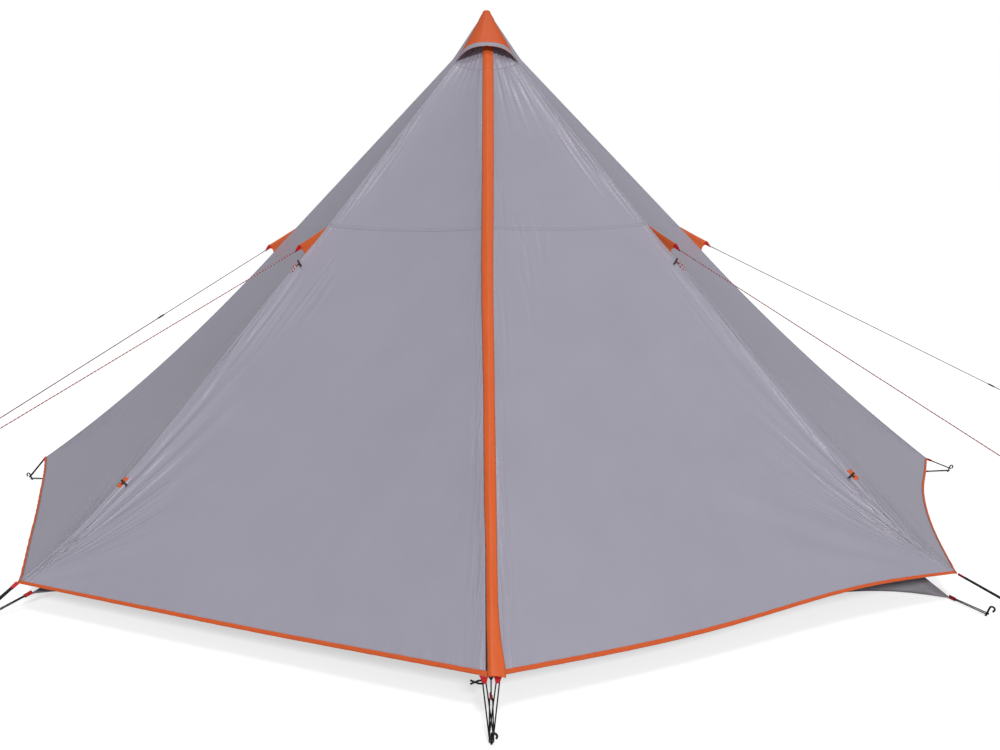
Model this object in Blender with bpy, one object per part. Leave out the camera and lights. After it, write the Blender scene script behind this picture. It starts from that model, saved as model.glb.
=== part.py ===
"""A family pyramid tent: an eight-sided fly over a centre pole, with an inner tent, guy lines and pegs.

Metres, +Z up. The origin is on the ground under the pole, the zipped front faces -Y, and +X is to the right.
"""

import math

import bmesh
import bpy
from mathutils import Matrix, Vector

# The fly
CORNER_RADIUS = 2.15
HEM_HEIGHT = 0.095
GUY_RADIUS = 0.968
GUY_HEIGHT = 1.17
NECK_RADIUS = 0.155
NECK_HEIGHT = 1.992
TIP_RADIUS = 0.012
TIP_HEIGHT = 2.195
CLOTH = 0.0015
SEAM_INSET = 0.001
RIDGE_HOLLOW = {"left_front": 0.061, "left": 0.037, "right": 0.042, "right_front": 0.058}
HOLLOW_SKEW = {"left_front": 1.8, "left": 1, "right": 1, "right_front": 1.8}
SIDE_REACH = 0.046
PANEL_SAG = 0.022
FOLD_DEPTH = 0.007
SIDE_HEM_CUT = 0.045
FRONT_HEM_CUT = 0.006
PANEL_COLUMNS = 8
DOOR_COLUMNS = 10
BAND_ROWS = (1, 4, 8)

# Running and assembly clearances
CLEARANCE = 0.0004

# The hem binding, a folded tape that holds the cloth's edge
BINDING_DEPTH = 0.013
BINDING_WALL = 0.001
BINDING_PLAY = 0.0006
BINDING_CLEAR = 0.0008

# The doors, their zip and its storm flap
DOOR_TOP_SIDE = 0.20
DOOR_TOP_FRONT = 0.25
DOOR_OPENS_DEG = 80
TAPE_WIDTH = 0.013
TAPE_THICKNESS = 0.0012
BEAD_WIDTH = 0.0028
BEAD_HEIGHT = 0.0016
SLIDER_LENGTH = 0.018
SLIDER_PLATE = 0.0018
SLIDER_WALL = 0.0015
SLIDER_FROM_HEM = 0.035
PULL_LENGTH = 0.030
PULL_WIDTH = 0.008
PULL_THICKNESS = 0.0014
FLAP_LEFT = 0.012
FLAP_RIGHT = 0.028
FLAP_FLARE = 0.008
FLAP_FLARE_LENGTH = 0.14
FLAP_EDGE_LIFT = 0.0022
FLAP_CROWN = 0.009
FLAP_THICKNESS = 0.0012
FLAP_TOP = 0.125
FLAP_SPLIT = 0.0105
FLAP_SEWN_CROWN_SHARE = 0.4

# The hood over the vent
HOOD_SIDE = 0.19
HOOD_FRONT = 0.172
HOOD_LIFT = 0.048
HOOD_TIP = 0.016
HOOD_BACK = 0.035
HOOD_CLOTH = 0.002
HOOD_SEAT = 0.0016
HOOD_COLUMNS = 12
HOOD_BACK_COLUMNS = 12
HOOD_RINGS = 4

# Pegs
PEG_RADIUS = 0.003
PEG_BURIED = 0.165
PEG_SHANK = 0.036
PEG_HOOK = 0.009
PEG_HOOK_TIP = 0.008
PEG_LEAN_DEG = 18
PEG_HOOK_TURN_DEG = 195
PEG_HOOK_STEPS = 6
PEG_POINT_SHARE = 0.3

# Corner ties: a webbing tab and an elastic loop
TIE_REACH = {
    "front": 0.140,
    "right_front": 0.205,
    "right": 0.155,
    "right_rear": 0.140,
    "rear": 0.140,
    "left_rear": 0.140,
    "left": 0.122,
    "left_front": 0.105,
}
TAB_LENGTH = 0.022
TAB_TOP_WIDTH = 0.024
TAB_LOW_WIDTH = 0.012
TAB_THICKNESS = 0.0024
LOOP_RADIUS = 0.0014
LOOP_SPREAD = 0.0042
LOOP_ROOT = 0.003
FRONT_TIE_OFFSET = 0.019
INNER_TIE_LEVEL = 0.009
FLY_TIE_LEVEL = 0.021
SECOND_TIE_LEVEL = 0.028

# Guy lines
FIN_ROOT_ABOVE = 0.043
FIN_ROOT_BELOW = 0.052
FIN_REACH = 0.082
FIN_NOSE = 0.016
FIN_WEBBING = 0.016
FIN_THICKNESS = 0.0015
GUY_PEG_RADIUS = {"left": 2.875, "left_front": 3.345, "right": 3.342, "right_front": 3.14}
RUNNER_RADIUS = {"left": 1.58, "left_front": 2.72, "right": 2.49, "right_front": 2.60}
GUY_CORD_RADIUS = 0.0015
GUY_LEVEL = 0.024
GUY_LOOP_RADIUS = 0.0066
RUNNER_LENGTH = 0.040
RUNNER_WIDTH = 0.014
RUNNER_HEIGHT = 0.008
RUNNER_PLAY = 0.0006

# Toggles that hold a rolled door
TOGGLE_RADII = {"upper": 1.06, "lower": 1.797}
TOGGLE_LENGTH = 0.038
TOGGLE_TURN_DEG = {"upper": 28, "lower": 10}
TOGGLE_RADIUS = 0.0035
TOGGLE_STANDS = 0.007
TOGGLE_ASIDE = 0.002
TOGGLE_STRAP = 0.010
STRAP_THICKNESS = 0.002
STRAP_WIDTH = 0.006

# The centre pole
POLE_LOWER_RADIUS = 0.014
POLE_UPPER_RADIUS = 0.0125
POLE_WALL = 0.0012
POLE_JOINT_HEIGHT = 1.10
POLE_OVERLAP = 0.06
SPIGOT_RADIUS = 0.0068
SPIGOT_LENGTH = 0.05
FOOT_RADIUS = 0.019
FOOT_HEIGHT = 0.030
FOOT_SOLE = 0.006

# The inner tent
FLOOR_RADIUS = 2.115
FLOOR_SHEET = 0.0025
TUB_HEIGHT = 0.10
TUB_LEAN = 0.135
FLOOR_CUT = 0.165
TUB_TOP_CUT = 0.09
FRONT_SET_BACK = 0.115
TUB_SHARES = (0, 0.08, 0.22, 0.5, 0.78, 0.92)
TUB_CURVE = 4
INNER_PEAK = 1.90
INNER_DROP = 0.10
MESH_THICKNESS = 0.0015
DOORWAY_SILL = 0.22
DOORWAY_HEAD = 1.42
DOORWAY_JAMB_SHARE = 0.22
INNER_PEG_RADIUS = 2.257
INNER_PEG_TURN_DEG = -1.4

AZIMUTH_DEG = {
    "front": 270,
    "right_front": 315,
    "right": 360,
    "right_rear": 405,
    "rear": 450,
    "left_rear": 495,
    "left": 540,
    "left_front": 585,
    "front_again": 630,
}
GUYED = ("left_front", "left", "right", "right_front")
SIDES = 8
HALF_SIDE = math.pi / SIDES
UP = Vector((0, 0, 1))

GREY_CLOTH = ("grey_cloth", (0.335, 0.325, 0.375), 0.55, 0)
ORANGE_TAPE = ("orange_tape", (0.74, 0.115, 0.022), 0.6, 0)
RED_WEBBING = ("red_webbing", (0.55, 0.01, 0.015), 0.7, 0)
BLACK_CORD = ("black_cord", (0.02, 0.02, 0.022), 0.7, 0)
BLACK_STEEL = ("black_steel", (0.03, 0.03, 0.032), 0.4, 0.9)
GUY_CORD = ("guy_cord", (0.5, 0.11, 0.1), 0.7, 0)
BLACK_PLASTIC = ("black_plastic", (0.02, 0.02, 0.02), 0.35, 0)
POLE_METAL = ("pole_metal", (0.5, 0.5, 0.52), 0.3, 1)
RUBBER = ("rubber", (0.03, 0.03, 0.03), 0.8, 0)
FLOOR_CLOTH = ("floor_cloth", (0.24, 0.235, 0.255), 0.5, 0)
INNER_MESH = ("inner_mesh", (0.3, 0.3, 0.32), 0.8, 0)


def clear_scene():
    for obj in list(bpy.data.objects):
        bpy.data.objects.remove(obj, do_unlink=True)


def material_of(finish):
    name, colour, roughness, metallic = finish
    found = bpy.data.materials.get(name)
    if found:
        return found
    made = bpy.data.materials.new(name)
    made.use_nodes = True
    shader = made.node_tree.nodes["Principled BSDF"]
    shader.inputs["Base Color"].default_value = (*colour, 1)
    shader.inputs["Roughness"].default_value = roughness
    shader.inputs["Metallic"].default_value = metallic
    return made


def add_object(name, data, finish):
    obj = bpy.data.objects.new(name, data)
    bpy.context.scene.collection.objects.link(obj)
    data.materials.append(material_of(finish))
    return obj


def add_mesh(name, bm, finish, closed=True):
    """The bmesh as an object. A closed one has its faces turned outwards."""
    if closed:
        bmesh.ops.recalc_face_normals(bm, faces=bm.faces)
    mesh = bpy.data.meshes.new(name)
    bm.to_mesh(mesh)
    bm.free()
    mesh.shade_smooth()
    mesh.set_sharp_from_angle(angle=math.radians(35))
    return add_object(name, mesh, finish)


def hide_cutter(obj):
    obj.hide_render = True
    obj.display_type = "WIRE"
    return obj


def combine(obj, other, operation):
    boolean = obj.modifiers.new(operation.lower(), "BOOLEAN")
    boolean.operation = operation
    boolean.solver = "EXACT"
    boolean.object = hide_cutter(other)
    return obj


def body_pivot(name, place):
    """An empty on a joint's axis, which carries the pieces that move on that joint."""
    pivot = bpy.data.objects.new(name, None)
    pivot.location = place
    bpy.context.scene.collection.objects.link(pivot)
    return pivot


def carry(pivot, place, pieces):
    for piece in pieces:
        piece.parent = pivot
        piece.matrix_parent_inverse = Matrix.Translation(-place)


# The ridges


def outward(ridge):
    angle = math.radians(AZIMUTH_DEG[ridge])
    return Vector((math.cos(angle), math.sin(angle), 0))


def tangent(ridge):
    """Horizontal, square to the ridge's own upright plane, towards the next ridge anticlockwise."""
    return UP.cross(outward(ridge))


def stations(ridge):
    guy = ((GUY_RADIUS, GUY_HEIGHT),) if ridge in GUYED else ()
    tip_to_neck = ((TIP_RADIUS, TIP_HEIGHT), (NECK_RADIUS, NECK_HEIGHT))
    return tip_to_neck + guy + ((CORNER_RADIUS, HEM_HEIGHT),)


def below_guy(radius, curve):
    """A curve from the guy point (share 0) to the corner (1), straight between the panels' rows."""
    rows = BAND_ROWS[-1]
    place = rows * min(1, max(0, (radius - GUY_RADIUS) / (CORNER_RADIUS - GUY_RADIUS)))
    row = min(rows - 1, int(place))
    upper, lower = curve(row / rows), curve((row + 1) / rows)
    return upper + (lower - upper) * (place - row)


def ridge_height(ridge, radius):
    """Height on the ridge: straight between its stations, and a little hollow below a guy point."""
    places = stations(ridge)
    skew = HOLLOW_SKEW.get(ridge, 1)
    hollow = RIDGE_HOLLOW.get(ridge, 0) * below_guy(radius, lambda share: 4 * share**skew * (1 - share**skew))
    for (inner, high), (outer, low) in zip(places, places[1:]):
        if radius <= outer or outer == CORNER_RADIUS:
            return high + (low - high) * (radius - inner) / (outer - inner) - hollow


def ridge_point(ridge, radius):
    """A point on the ridge. The side corners are pulled further out than the others."""
    reach = SIDE_REACH * below_guy(radius, lambda share: share**2) if ridge in ("left", "right") else 0
    return outward(ridge) * (radius + reach) + UP * ridge_height(ridge, radius)


def ridge_frame(ridge, inner, outer):
    """Direction down the ridge between two radii, and the outward normal in its upright plane."""
    down = (ridge_point(ridge, outer) - ridge_point(ridge, inner)).normalized()
    return down, tangent(ridge).cross(down) * -1


# Fly panels


def panel_rows(top, with_guy):
    """Radii of the panel's rows, with one at the neck and one at the guy point."""
    marks = [NECK_RADIUS, GUY_RADIUS, CORNER_RADIUS]
    counts = list(BAND_ROWS)
    rows = [top]
    for mark, count in zip(marks, counts):
        start = rows[-1]
        if start >= mark:
            continue
        rows += [start + (mark - start) * step / count for step in range(1, count + 1)]
    return rows


def folds(across, down):
    """Shares of FOLD_DEPTH: long shallow folds that run from each lower corner up the panel."""
    total = 0
    for share in (across, 1 - across):
        angle = math.atan2(share, max(1 - down, 1e-6))
        reach = math.hypot(share, 1 - down)
        total += math.cos(7 * angle) * math.sin(math.pi * min(1, reach)) ** 2
    return total * 4 * across * (1 - across)


def panel_point(first, second, across, radius, insets=(0, 0)):
    start = ridge_point(first, radius)
    chord = ridge_point(second, radius) - start
    along = chord.normalized()
    width = chord.length - insets[0] - insets[1]
    return start + along * (insets[0] + width * across)


def panel_normal(first, second):
    low_first = ridge_point(first, CORNER_RADIUS)
    low_second = ridge_point(second, CORNER_RADIUS)
    middle = (ridge_point(first, NECK_RADIUS) + ridge_point(second, NECK_RADIUS)) / 2
    normal = (low_second - low_first).cross(middle - low_first)
    return normal.normalized()


def shaped_point(first, second, across, radius, top, hem_cut, insets=(0, 0)):
    """A point of the hung panel: its flat place, raised at the hem, then sagged inwards and folded."""
    bow = 4 * across * (1 - across)
    if radius > GUY_RADIUS:
        share = (radius - GUY_RADIUS) / (CORNER_RADIUS - GUY_RADIUS)
        radius = radius - hem_cut * bow * share
    flat = panel_point(first, second, across, radius, insets)
    down = max(0, (radius - top) / (CORNER_RADIUS - top))
    belly = math.sin(math.pi * min(1, down)) * bow
    depth = PANEL_SAG * belly - FOLD_DEPTH * folds(across, down) * math.sin(math.pi * min(1, down))
    return flat - panel_normal(first, second) * depth


def cloth_panel(name, first, second, tops, insets, hem_cut, columns, finish):
    """One fly panel between two ridges, from a top radius on each ridge down to the hem."""
    bm = bmesh.new()
    grid = []
    lowest_top = min(tops)
    for row in panel_rows(lowest_top, True):
        line = []
        for column in range(columns + 1):
            across = column / columns
            top = tops[0] + (tops[1] - tops[0]) * across
            share = (row - lowest_top) / (CORNER_RADIUS - lowest_top)
            radius = row if tops[0] == tops[1] else max(row, top + (CORNER_RADIUS - top) * share)
            place = shaped_point(first, second, across, radius, top, hem_cut, insets)
            line.append(bm.verts.new(place))
        grid.append(line)
    for upper, lower in zip(grid, grid[1:]):
        for left, right, low_right, low_left in zip(upper, upper[1:], lower[1:], lower):
            bm.faces.new((left, low_left, low_right, right))
    panel = add_mesh(name, bm, finish, closed=False)
    thicken(panel, CLOTH, -1)
    return panel


def thicken(obj, thickness, side):
    solidify = obj.modifiers.new("thickness", "SOLIDIFY")
    solidify.thickness = thickness
    solidify.offset = side
    solidify.use_even_offset = False
    return obj


# Hem binding


def hem_path(first, second, hem_cut, columns):
    """Points along a panel's hem, and the direction down its lowest row of cloth at each."""
    last_row = (CORNER_RADIUS - GUY_RADIUS) / BAND_ROWS[-1]
    path = []
    for column in range(columns + 1):
        across = column / columns
        low = shaped_point(first, second, across, CORNER_RADIUS, TIP_RADIUS, hem_cut)
        above = shaped_point(first, second, across, CORNER_RADIUS - last_row, TIP_RADIUS, hem_cut)
        path.append((low, (low - above).normalized()))
    return path


def binding_profile():
    """The folded tape in (down the cloth, outwards): a channel round the cloth's edge."""
    outer = BINDING_PLAY + BINDING_WALL
    inner = -CLOTH - outer
    foot = CLEARANCE + BINDING_WALL
    return [
        (-BINDING_DEPTH, BINDING_PLAY),
        (-BINDING_DEPTH, outer),
        (foot, outer),
        (foot, inner),
        (-BINDING_DEPTH, inner),
        (-BINDING_DEPTH, -CLOTH - BINDING_PLAY),
        (CLEARANCE, -CLOTH - BINDING_PLAY),
        (CLEARANCE, BINDING_PLAY),
    ]


def sweep(bm, points, downs, end_planes, profile):
    """A closed solid of the profile along the points, mitred at each one and cut at both ends on the given planes."""
    segments = []
    for (start, end), (down_start, down_end) in zip(zip(points, points[1:]), downs):
        along = (end - start).normalized()
        down = (down_start + down_end) / 2
        down = (down - along * down.dot(along)).normalized()
        segments.append((along, down, down.cross(along)))
    rings = []
    for index, point in enumerate(points):
        before = segments[max(index - 1, 0)]
        after = segments[min(index, len(segments) - 1)]
        if index == 0:
            plane = end_planes[0]
        elif index == len(points) - 1:
            plane = end_planes[1]
        else:
            plane = (before[0] + after[0]).normalized()
        ring = []
        for low, out in profile:
            places = []
            for along, down, normal in (before, after):
                offset = down * low + normal * out
                places.append(point + offset - along * (offset.dot(plane) / along.dot(plane)))
            ring.append(bm.verts.new((places[0] + places[1]) / 2))
        rings.append(ring)
    for ring, following in zip(rings, rings[1:]):
        for index in range(len(profile)):
            other = (index + 1) % len(profile)
            bm.faces.new((ring[index], ring[other], following[other], following[index]))
    bm.faces.new(rings[0])
    bm.faces.new(rings[-1])


def binding(name, ridges, hem_cut, columns):
    """The binding along the hems of the panels between the ridges named."""
    points = []
    downs = []
    for first, second in zip(ridges, ridges[1:]):
        path = hem_path(first, second, hem_cut, columns)
        points += [place for place, _ in path][bool(points):]
        downs += [(one[1], two[1]) for one, two in zip(path, path[1:])]
    points[0] = points[0] + (points[1] - points[0]).normalized() * SEAM_INSET
    points[-1] = points[-1] + (points[-2] - points[-1]).normalized() * SEAM_INSET
    bm = bmesh.new()
    sweep(bm, points, downs, (tangent(ridges[0]), tangent(ridges[-1])), binding_profile())
    return add_mesh(name, bm, ORANGE_TAPE)


# Solids from outlines


def prism(bm, outline, thickness):
    """A plate of the outline's points, thickened evenly to both sides of its plane."""
    normal = (outline[1] - outline[0]).cross(outline[2] - outline[0]).normalized()
    upper = [bm.verts.new(place + normal * thickness / 2) for place in outline]
    lower = [bm.verts.new(place - normal * thickness / 2) for place in outline]
    bm.faces.new(upper)
    bm.faces.new(lower)
    for index in range(len(outline)):
        other = (index + 1) % len(outline)
        bm.faces.new((upper[index], upper[other], lower[other], lower[index]))


def bar(bm, start, end, side, profile):
    """A straight bar of the profile, given in (side, up from the start-end line)."""
    along = (end - start).normalized()
    over = side.cross(along).normalized()
    rings = []
    for place in (start, end):
        rings.append([bm.verts.new(place + side * across + over * high) for across, high in profile])
    for index in range(len(profile)):
        other = (index + 1) % len(profile)
        bm.faces.new((rings[0][index], rings[0][other], rings[1][other], rings[1][index]))
    bm.faces.new(rings[0])
    bm.faces.new(rings[1])


def tube(name, points, radius, finish, sides_level=1, point_share=1):
    """A round rod or cord along the points, with filled ends."""
    curve = bpy.data.curves.new(name, "CURVE")
    curve.dimensions = "3D"
    spline = curve.splines.new("POLY")
    spline.points.add(len(points) - 1)
    for target, place in zip(spline.points, points):
        target.co = (*place, 1)
    spline.points[0].radius = point_share
    spline.use_smooth = True
    curve.bevel_depth = radius
    curve.bevel_resolution = sides_level
    curve.use_fill_caps = True
    return add_object(name, curve, finish)


def tube_mesh(name, points, radius, finish, sides=6):
    """The same rod as a mesh, for joining to another solid."""
    bm = bmesh.new()
    rings = []
    side = None
    for index, place in enumerate(points):
        before = points[max(index - 1, 0)]
        after = points[min(index + 1, len(points) - 1)]
        along = (after - before).normalized()
        if side is None:
            side = along.orthogonal().normalized()
        side = (side - along * side.dot(along)).normalized()
        over = along.cross(side)
        ring = []
        for step in range(sides):
            angle = 2 * math.pi * step / sides
            spoke = side * math.cos(angle) + over * math.sin(angle)
            ring.append(bm.verts.new(place + spoke * radius))
        rings.append(ring)
    for ring, following in zip(rings, rings[1:]):
        for index in range(sides):
            other = (index + 1) % sides
            bm.faces.new((ring[index], ring[other], following[other], following[index]))
    bm.faces.new(rings[0])
    bm.faces.new(rings[-1])
    return add_mesh(name, bm, finish)


def lathe(name, profile, steps, finish, turn=0, ring=False):
    """A solid turned about the Z axis from (radius, height) points. Zero radii close on the axis."""
    bm = bmesh.new()
    columns = []
    on_axis = {}
    for step in range(steps):
        angle = turn + 2 * math.pi * step / steps
        column = []
        for index, (radius, height) in enumerate(profile):
            if radius == 0:
                if index not in on_axis:
                    on_axis[index] = bm.verts.new((0, 0, height))
                column.append(on_axis[index])
            else:
                column.append(bm.verts.new((radius * math.cos(angle), radius * math.sin(angle), height)))
        columns.append(column)
    spans = len(profile) if ring else len(profile) - 1
    for step in range(steps):
        one, two = columns[step], columns[(step + 1) % steps]
        for index in range(spans):
            other = (index + 1) % len(profile)
            corners = []
            for vert in (one[index], one[other], two[other], two[index]):
                if vert not in corners:
                    corners.append(vert)
            if len(corners) > 2:
                bm.faces.new(corners)
    return add_mesh(name, bm, finish)


# Pegs


def peg_line(azimuth_deg, radius):
    """The peg's ground point, its shank direction and the direction that its hook opens to."""
    angle = math.radians(azimuth_deg)
    away = Vector((math.cos(angle), math.sin(angle), 0))
    lean = math.radians(PEG_LEAN_DEG)
    shank = away * math.sin(lean) + UP * math.cos(lean)
    hook = away * math.cos(lean) - UP * math.sin(lean)
    return away * radius, shank, hook


def peg(name, azimuth_deg, radius):
    """A bent steel rod: a pointed shank in the ground and an open hook above it."""
    ground, shank, hook = peg_line(azimuth_deg, radius)
    centre = ground + shank * PEG_SHANK + hook * PEG_HOOK
    points = [ground - shank * PEG_BURIED, ground - shank * (PEG_BURIED - 4 * PEG_RADIUS), ground]
    for step in range(PEG_HOOK_STEPS + 1):
        turn = math.radians(PEG_HOOK_TURN_DEG) * step / PEG_HOOK_STEPS
        points.append(centre - hook * PEG_HOOK * math.cos(turn) + shank * PEG_HOOK * math.sin(turn))
    turn = math.radians(PEG_HOOK_TURN_DEG)
    points.append(points[-1] + (hook * math.sin(turn) + shank * math.cos(turn)) * PEG_HOOK_TIP)
    return tube(name, points, PEG_RADIUS, BLACK_STEEL, point_share=PEG_POINT_SHARE)


def on_peg(azimuth_deg, radius, level):
    """The middle of the peg's shank at a height above the ground."""
    ground, shank, _ = peg_line(azimuth_deg, radius)
    return ground + shank * (level / shank.z)


def round_peg(start, middle, spread, cord_radius, root):
    """A cord from beside the start, round the far side of the peg and back: its centre line."""
    along = (middle - start).normalized()
    side = along.cross(UP).normalized()
    bend = PEG_RADIUS + CLEARANCE + cord_radius
    points = [start - along * root + side * spread, start + side * spread]
    for turn_deg in (90, 45, 0, -45, -90):
        turn = math.radians(turn_deg)
        points.append(middle + (side * math.sin(turn) + along * math.cos(turn)) * bend)
    points += [start - side * spread, start - along * root - side * spread]
    return points


def corner_tie(name, corner, azimuth_deg, radius, level, seam=None):
    """A webbing tab at the corner with an elastic loop sewn in, hooked round a peg."""
    middle = on_peg(azimuth_deg, radius, level)
    along = (middle - corner).normalized()
    side = seam or along.cross(UP).normalized()
    low = corner + along * TAB_LENGTH
    bm = bmesh.new()
    outline = [
        corner - side * TAB_TOP_WIDTH / 2,
        corner + side * TAB_TOP_WIDTH / 2,
        low + side * TAB_LOW_WIDTH / 2,
        low - side * TAB_LOW_WIDTH / 2,
    ]
    prism(bm, outline, TAB_THICKNESS)
    tab = add_mesh(name, bm, RED_WEBBING)
    line = round_peg(low, middle, LOOP_SPREAD, LOOP_RADIUS, LOOP_ROOT)
    loop = tube_mesh(name + "_loop", line, LOOP_RADIUS, RED_WEBBING)
    return combine(tab, loop, "UNION")


def front_tie(side, far_ridge, aside, level):
    """The tie of one door, sewn along its hem beside the zip and hooked on the peg that both doors share."""
    seam = (ridge_point("front", CORNER_RADIUS) - ridge_point(far_ridge, CORNER_RADIUS)).normalized()
    radius = CORNER_RADIUS + TIE_REACH["front"]
    return corner_tie("corner_tie_front_" + side, below_hem("front", aside), AZIMUTH_DEG["front"], radius, level, seam)


def below_hem(ridge, aside=0):
    """The point just under the binding at a corner, moved aside along the ridge's tangent."""
    down, _ = ridge_frame(ridge, GUY_RADIUS, CORNER_RADIUS)
    lowest = ridge_point(ridge, CORNER_RADIUS) + tangent(ridge) * aside
    hem_slope = math.tan(HALF_SIDE) * abs(aside)
    return lowest - outward(ridge) * hem_slope + down * (BINDING_WALL + 2 * CLEARANCE + TAB_THICKNESS / 5)


# Guy lines


def guy_fin(ridge):
    """A triangular patch on edge along the ridge, drawn out to a strip of webbing."""
    root = [ridge_point(ridge, radius) for radius in fin_root()]
    nose = fin_nose(ridge)
    pull = guy_pull(ridge)
    across = tangent(ridge).cross(pull).normalized()
    outline = [
        root[0],
        root[1],
        root[2],
        nose - across * FIN_NOSE / 2,
        nose + pull * FIN_WEBBING - across * FIN_NOSE / 4,
        nose + pull * FIN_WEBBING + across * FIN_NOSE / 4,
        nose + across * FIN_NOSE / 2,
    ]
    if (outline[3] - outline[2]).length > (outline[6] - outline[2]).length:
        outline = outline[:3] + outline[:2:-1]
    bm = bmesh.new()
    prism(bm, outline, FIN_THICKNESS)
    return add_mesh("guy_fin_" + ridge, bm, ORANGE_TAPE)


def fin_root():
    return GUY_RADIUS - FIN_ROOT_ABOVE, GUY_RADIUS, GUY_RADIUS + FIN_ROOT_BELOW


def guy_middle(ridge):
    return on_peg(AZIMUTH_DEG[ridge], GUY_PEG_RADIUS[ridge], GUY_LEVEL)


def guy_pull(ridge):
    return (guy_middle(ridge) - ridge_point(ridge, GUY_RADIUS)).normalized()


def fin_nose(ridge):
    lift = ridge_frame(ridge, fin_root()[0], fin_root()[2])[1]
    return ridge_point(ridge, GUY_RADIUS) + guy_pull(ridge) * FIN_REACH + lift * FIN_NOSE / 2


def guy_ends(ridge):
    """The line's start at the fin, the middle of its loop round the peg, and the way to the loop's side."""
    start = fin_nose(ridge) + guy_pull(ridge) * (FIN_WEBBING + CLEARANCE)
    slack = GUY_LOOP_RADIUS - PEG_RADIUS - CLEARANCE - GUY_CORD_RADIUS
    return start, guy_middle(ridge) - guy_pull(ridge) * slack, tangent(ridge)


def runner_place(ridge):
    """Where the runner rests on the line, and the direction up the line."""
    start, middle, side = guy_ends(ridge)
    near_peg = middle + side * GUY_LOOP_RADIUS
    share = (RUNNER_RADIUS[ridge] - start.dot(outward(ridge))) / (near_peg - start).dot(outward(ridge))
    return start + (near_peg - start) * share, (start - near_peg).normalized()


def guyline(ridge):
    """One cord: down to the peg, round it, and back up beside itself to just under the runner."""
    start, middle, side = guy_ends(ridge)
    along = (middle - start).normalized()
    place, up_line = runner_place(ridge)
    near_peg = middle + side * GUY_LOOP_RADIUS
    steps = 8
    points = [start + (near_peg - start) * step / steps for step in range(steps + 1)]
    for turn_deg in (60, 30, 0, -30, -60):
        turn = math.radians(turn_deg)
        points.append(middle + (side * math.sin(turn) + along * math.cos(turn)) * GUY_LOOP_RADIUS)
    back = middle - side * GUY_LOOP_RADIUS
    knot = place - up_line * (RUNNER_LENGTH / 2 + 2 * CLEARANCE) - side * (2 * GUY_CORD_RADIUS + 2 * CLEARANCE)
    points += [back + (knot - back) * step / steps for step in range(steps + 1)]
    return tube("guyline_" + ridge, points, GUY_CORD_RADIUS, GUY_CORD, sides_level=2)


def guy_runner(ridge):
    """A moulded slider with rounded ends, bored for the line."""
    place, up_line = runner_place(ridge)
    side = tangent(ridge)
    over = side.cross(up_line)
    bm = bmesh.new()
    outline = []
    corner = RUNNER_WIDTH / 3
    for end in (1, -1):
        for edge in (end, -end):
            tip = up_line * (RUNNER_LENGTH / 2) * end + side * (RUNNER_WIDTH / 2 - corner) * edge
            flank = up_line * (RUNNER_LENGTH / 2 - corner) * end + side * (RUNNER_WIDTH / 2) * edge
            outline += [flank, tip] if edge == end else [tip, flank]
    outline = [place + offset for offset in outline]
    prism(bm, outline, RUNNER_HEIGHT)
    runner = add_mesh("guy_runner_" + ridge, bm, BLACK_PLASTIC)
    reach = up_line * RUNNER_LENGTH
    bore = tube_mesh("runner_bore_" + ridge, [place - reach, place + reach], GUY_CORD_RADIUS + RUNNER_PLAY, BLACK_PLASTIC, 8)
    return combine(runner, bore, "DIFFERENCE"), over


# Toggles


def toggle_place(level, side_name):
    """The strap's root, the bar's middle and direction, the ridge's outward way and the axis that the strap folds on."""
    ridge, radius = side_name + "_front", TOGGLE_RADII[level]
    down, lift = ridge_frame(ridge, radius, radius + TOGGLE_LENGTH)
    side = tangent(ridge) * (1 if side_name == "left" else -1)
    out = (side - lift * math.tan(HALF_SIDE) * lift.dot(outward(ridge))).normalized()
    turn = math.radians(TOGGLE_TURN_DEG[level])
    way = out * math.cos(turn) + down * math.sin(turn)
    seam = ridge_point(ridge, radius)
    middle = seam + lift * TOGGLE_STANDS + out * (TOGGLE_ASIDE + TOGGLE_LENGTH / 2 * math.cos(turn))
    root = seam + lift * CLEARANCE + out * (TOGGLE_ASIDE + STRAP_WIDTH / 2) + down * TOGGLE_STRAP
    return root, middle, way, lift, (middle - root).cross(lift).normalized()


def toggle(level, side_name):
    """A short bar across the door's edge, held at its middle by a strap that is sewn beside the corner seam."""
    root, middle, way, lift, _ = toggle_place(level, side_name)
    bm = bmesh.new()
    half = lift * STRAP_THICKNESS / 2
    prism(bm, [root, root + half * 2, middle + half, middle - half], STRAP_WIDTH)
    strap = add_mesh("toggle_" + level + "_" + side_name, bm, BLACK_PLASTIC)
    ends = way * TOGGLE_LENGTH / 2
    bar_piece = tube_mesh("toggle_bar", [middle - ends, middle + ends], TOGGLE_RADIUS, BLACK_PLASTIC, 8)
    return combine(strap, bar_piece, "UNION"), root


# The front zip


def zip_line():
    """The straight front ridge from the hem to the zip's top, and its frame."""
    bottom = ridge_point("front", CORNER_RADIUS)
    top = ridge_point("front", DOOR_TOP_FRONT)
    return bottom, top, (top - bottom).normalized()


def door_plane(side_sign):
    """The door's outward normal, its level hem direction away from the zip, and the way square to the zip."""
    _, _, up_line = zip_line()
    pair = ("front", "right_front") if side_sign > 0 else ("left_front", "front_again")
    normal = panel_normal(*pair)
    hem = UP.cross(normal).normalized() * side_sign
    return normal, hem, up_line.cross(normal).normalized() * side_sign


def tape_edges(side_sign):
    """Where the tape starts and ends, measured in the door's plane square to the zip."""
    normal, _, _ = door_plane(side_sign)
    start = CLEARANCE + TAPE_THICKNESS * abs(normal.dot(tangent("front")))
    return start, start + TAPE_WIDTH


def tape_inset(side_sign):
    """How far along the hem's direction the door's cloth stops short of the ridge."""
    _, hem, away = door_plane(side_sign)
    return (tape_edges(side_sign)[1] + CLEARANCE) / hem.dot(away)


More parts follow.
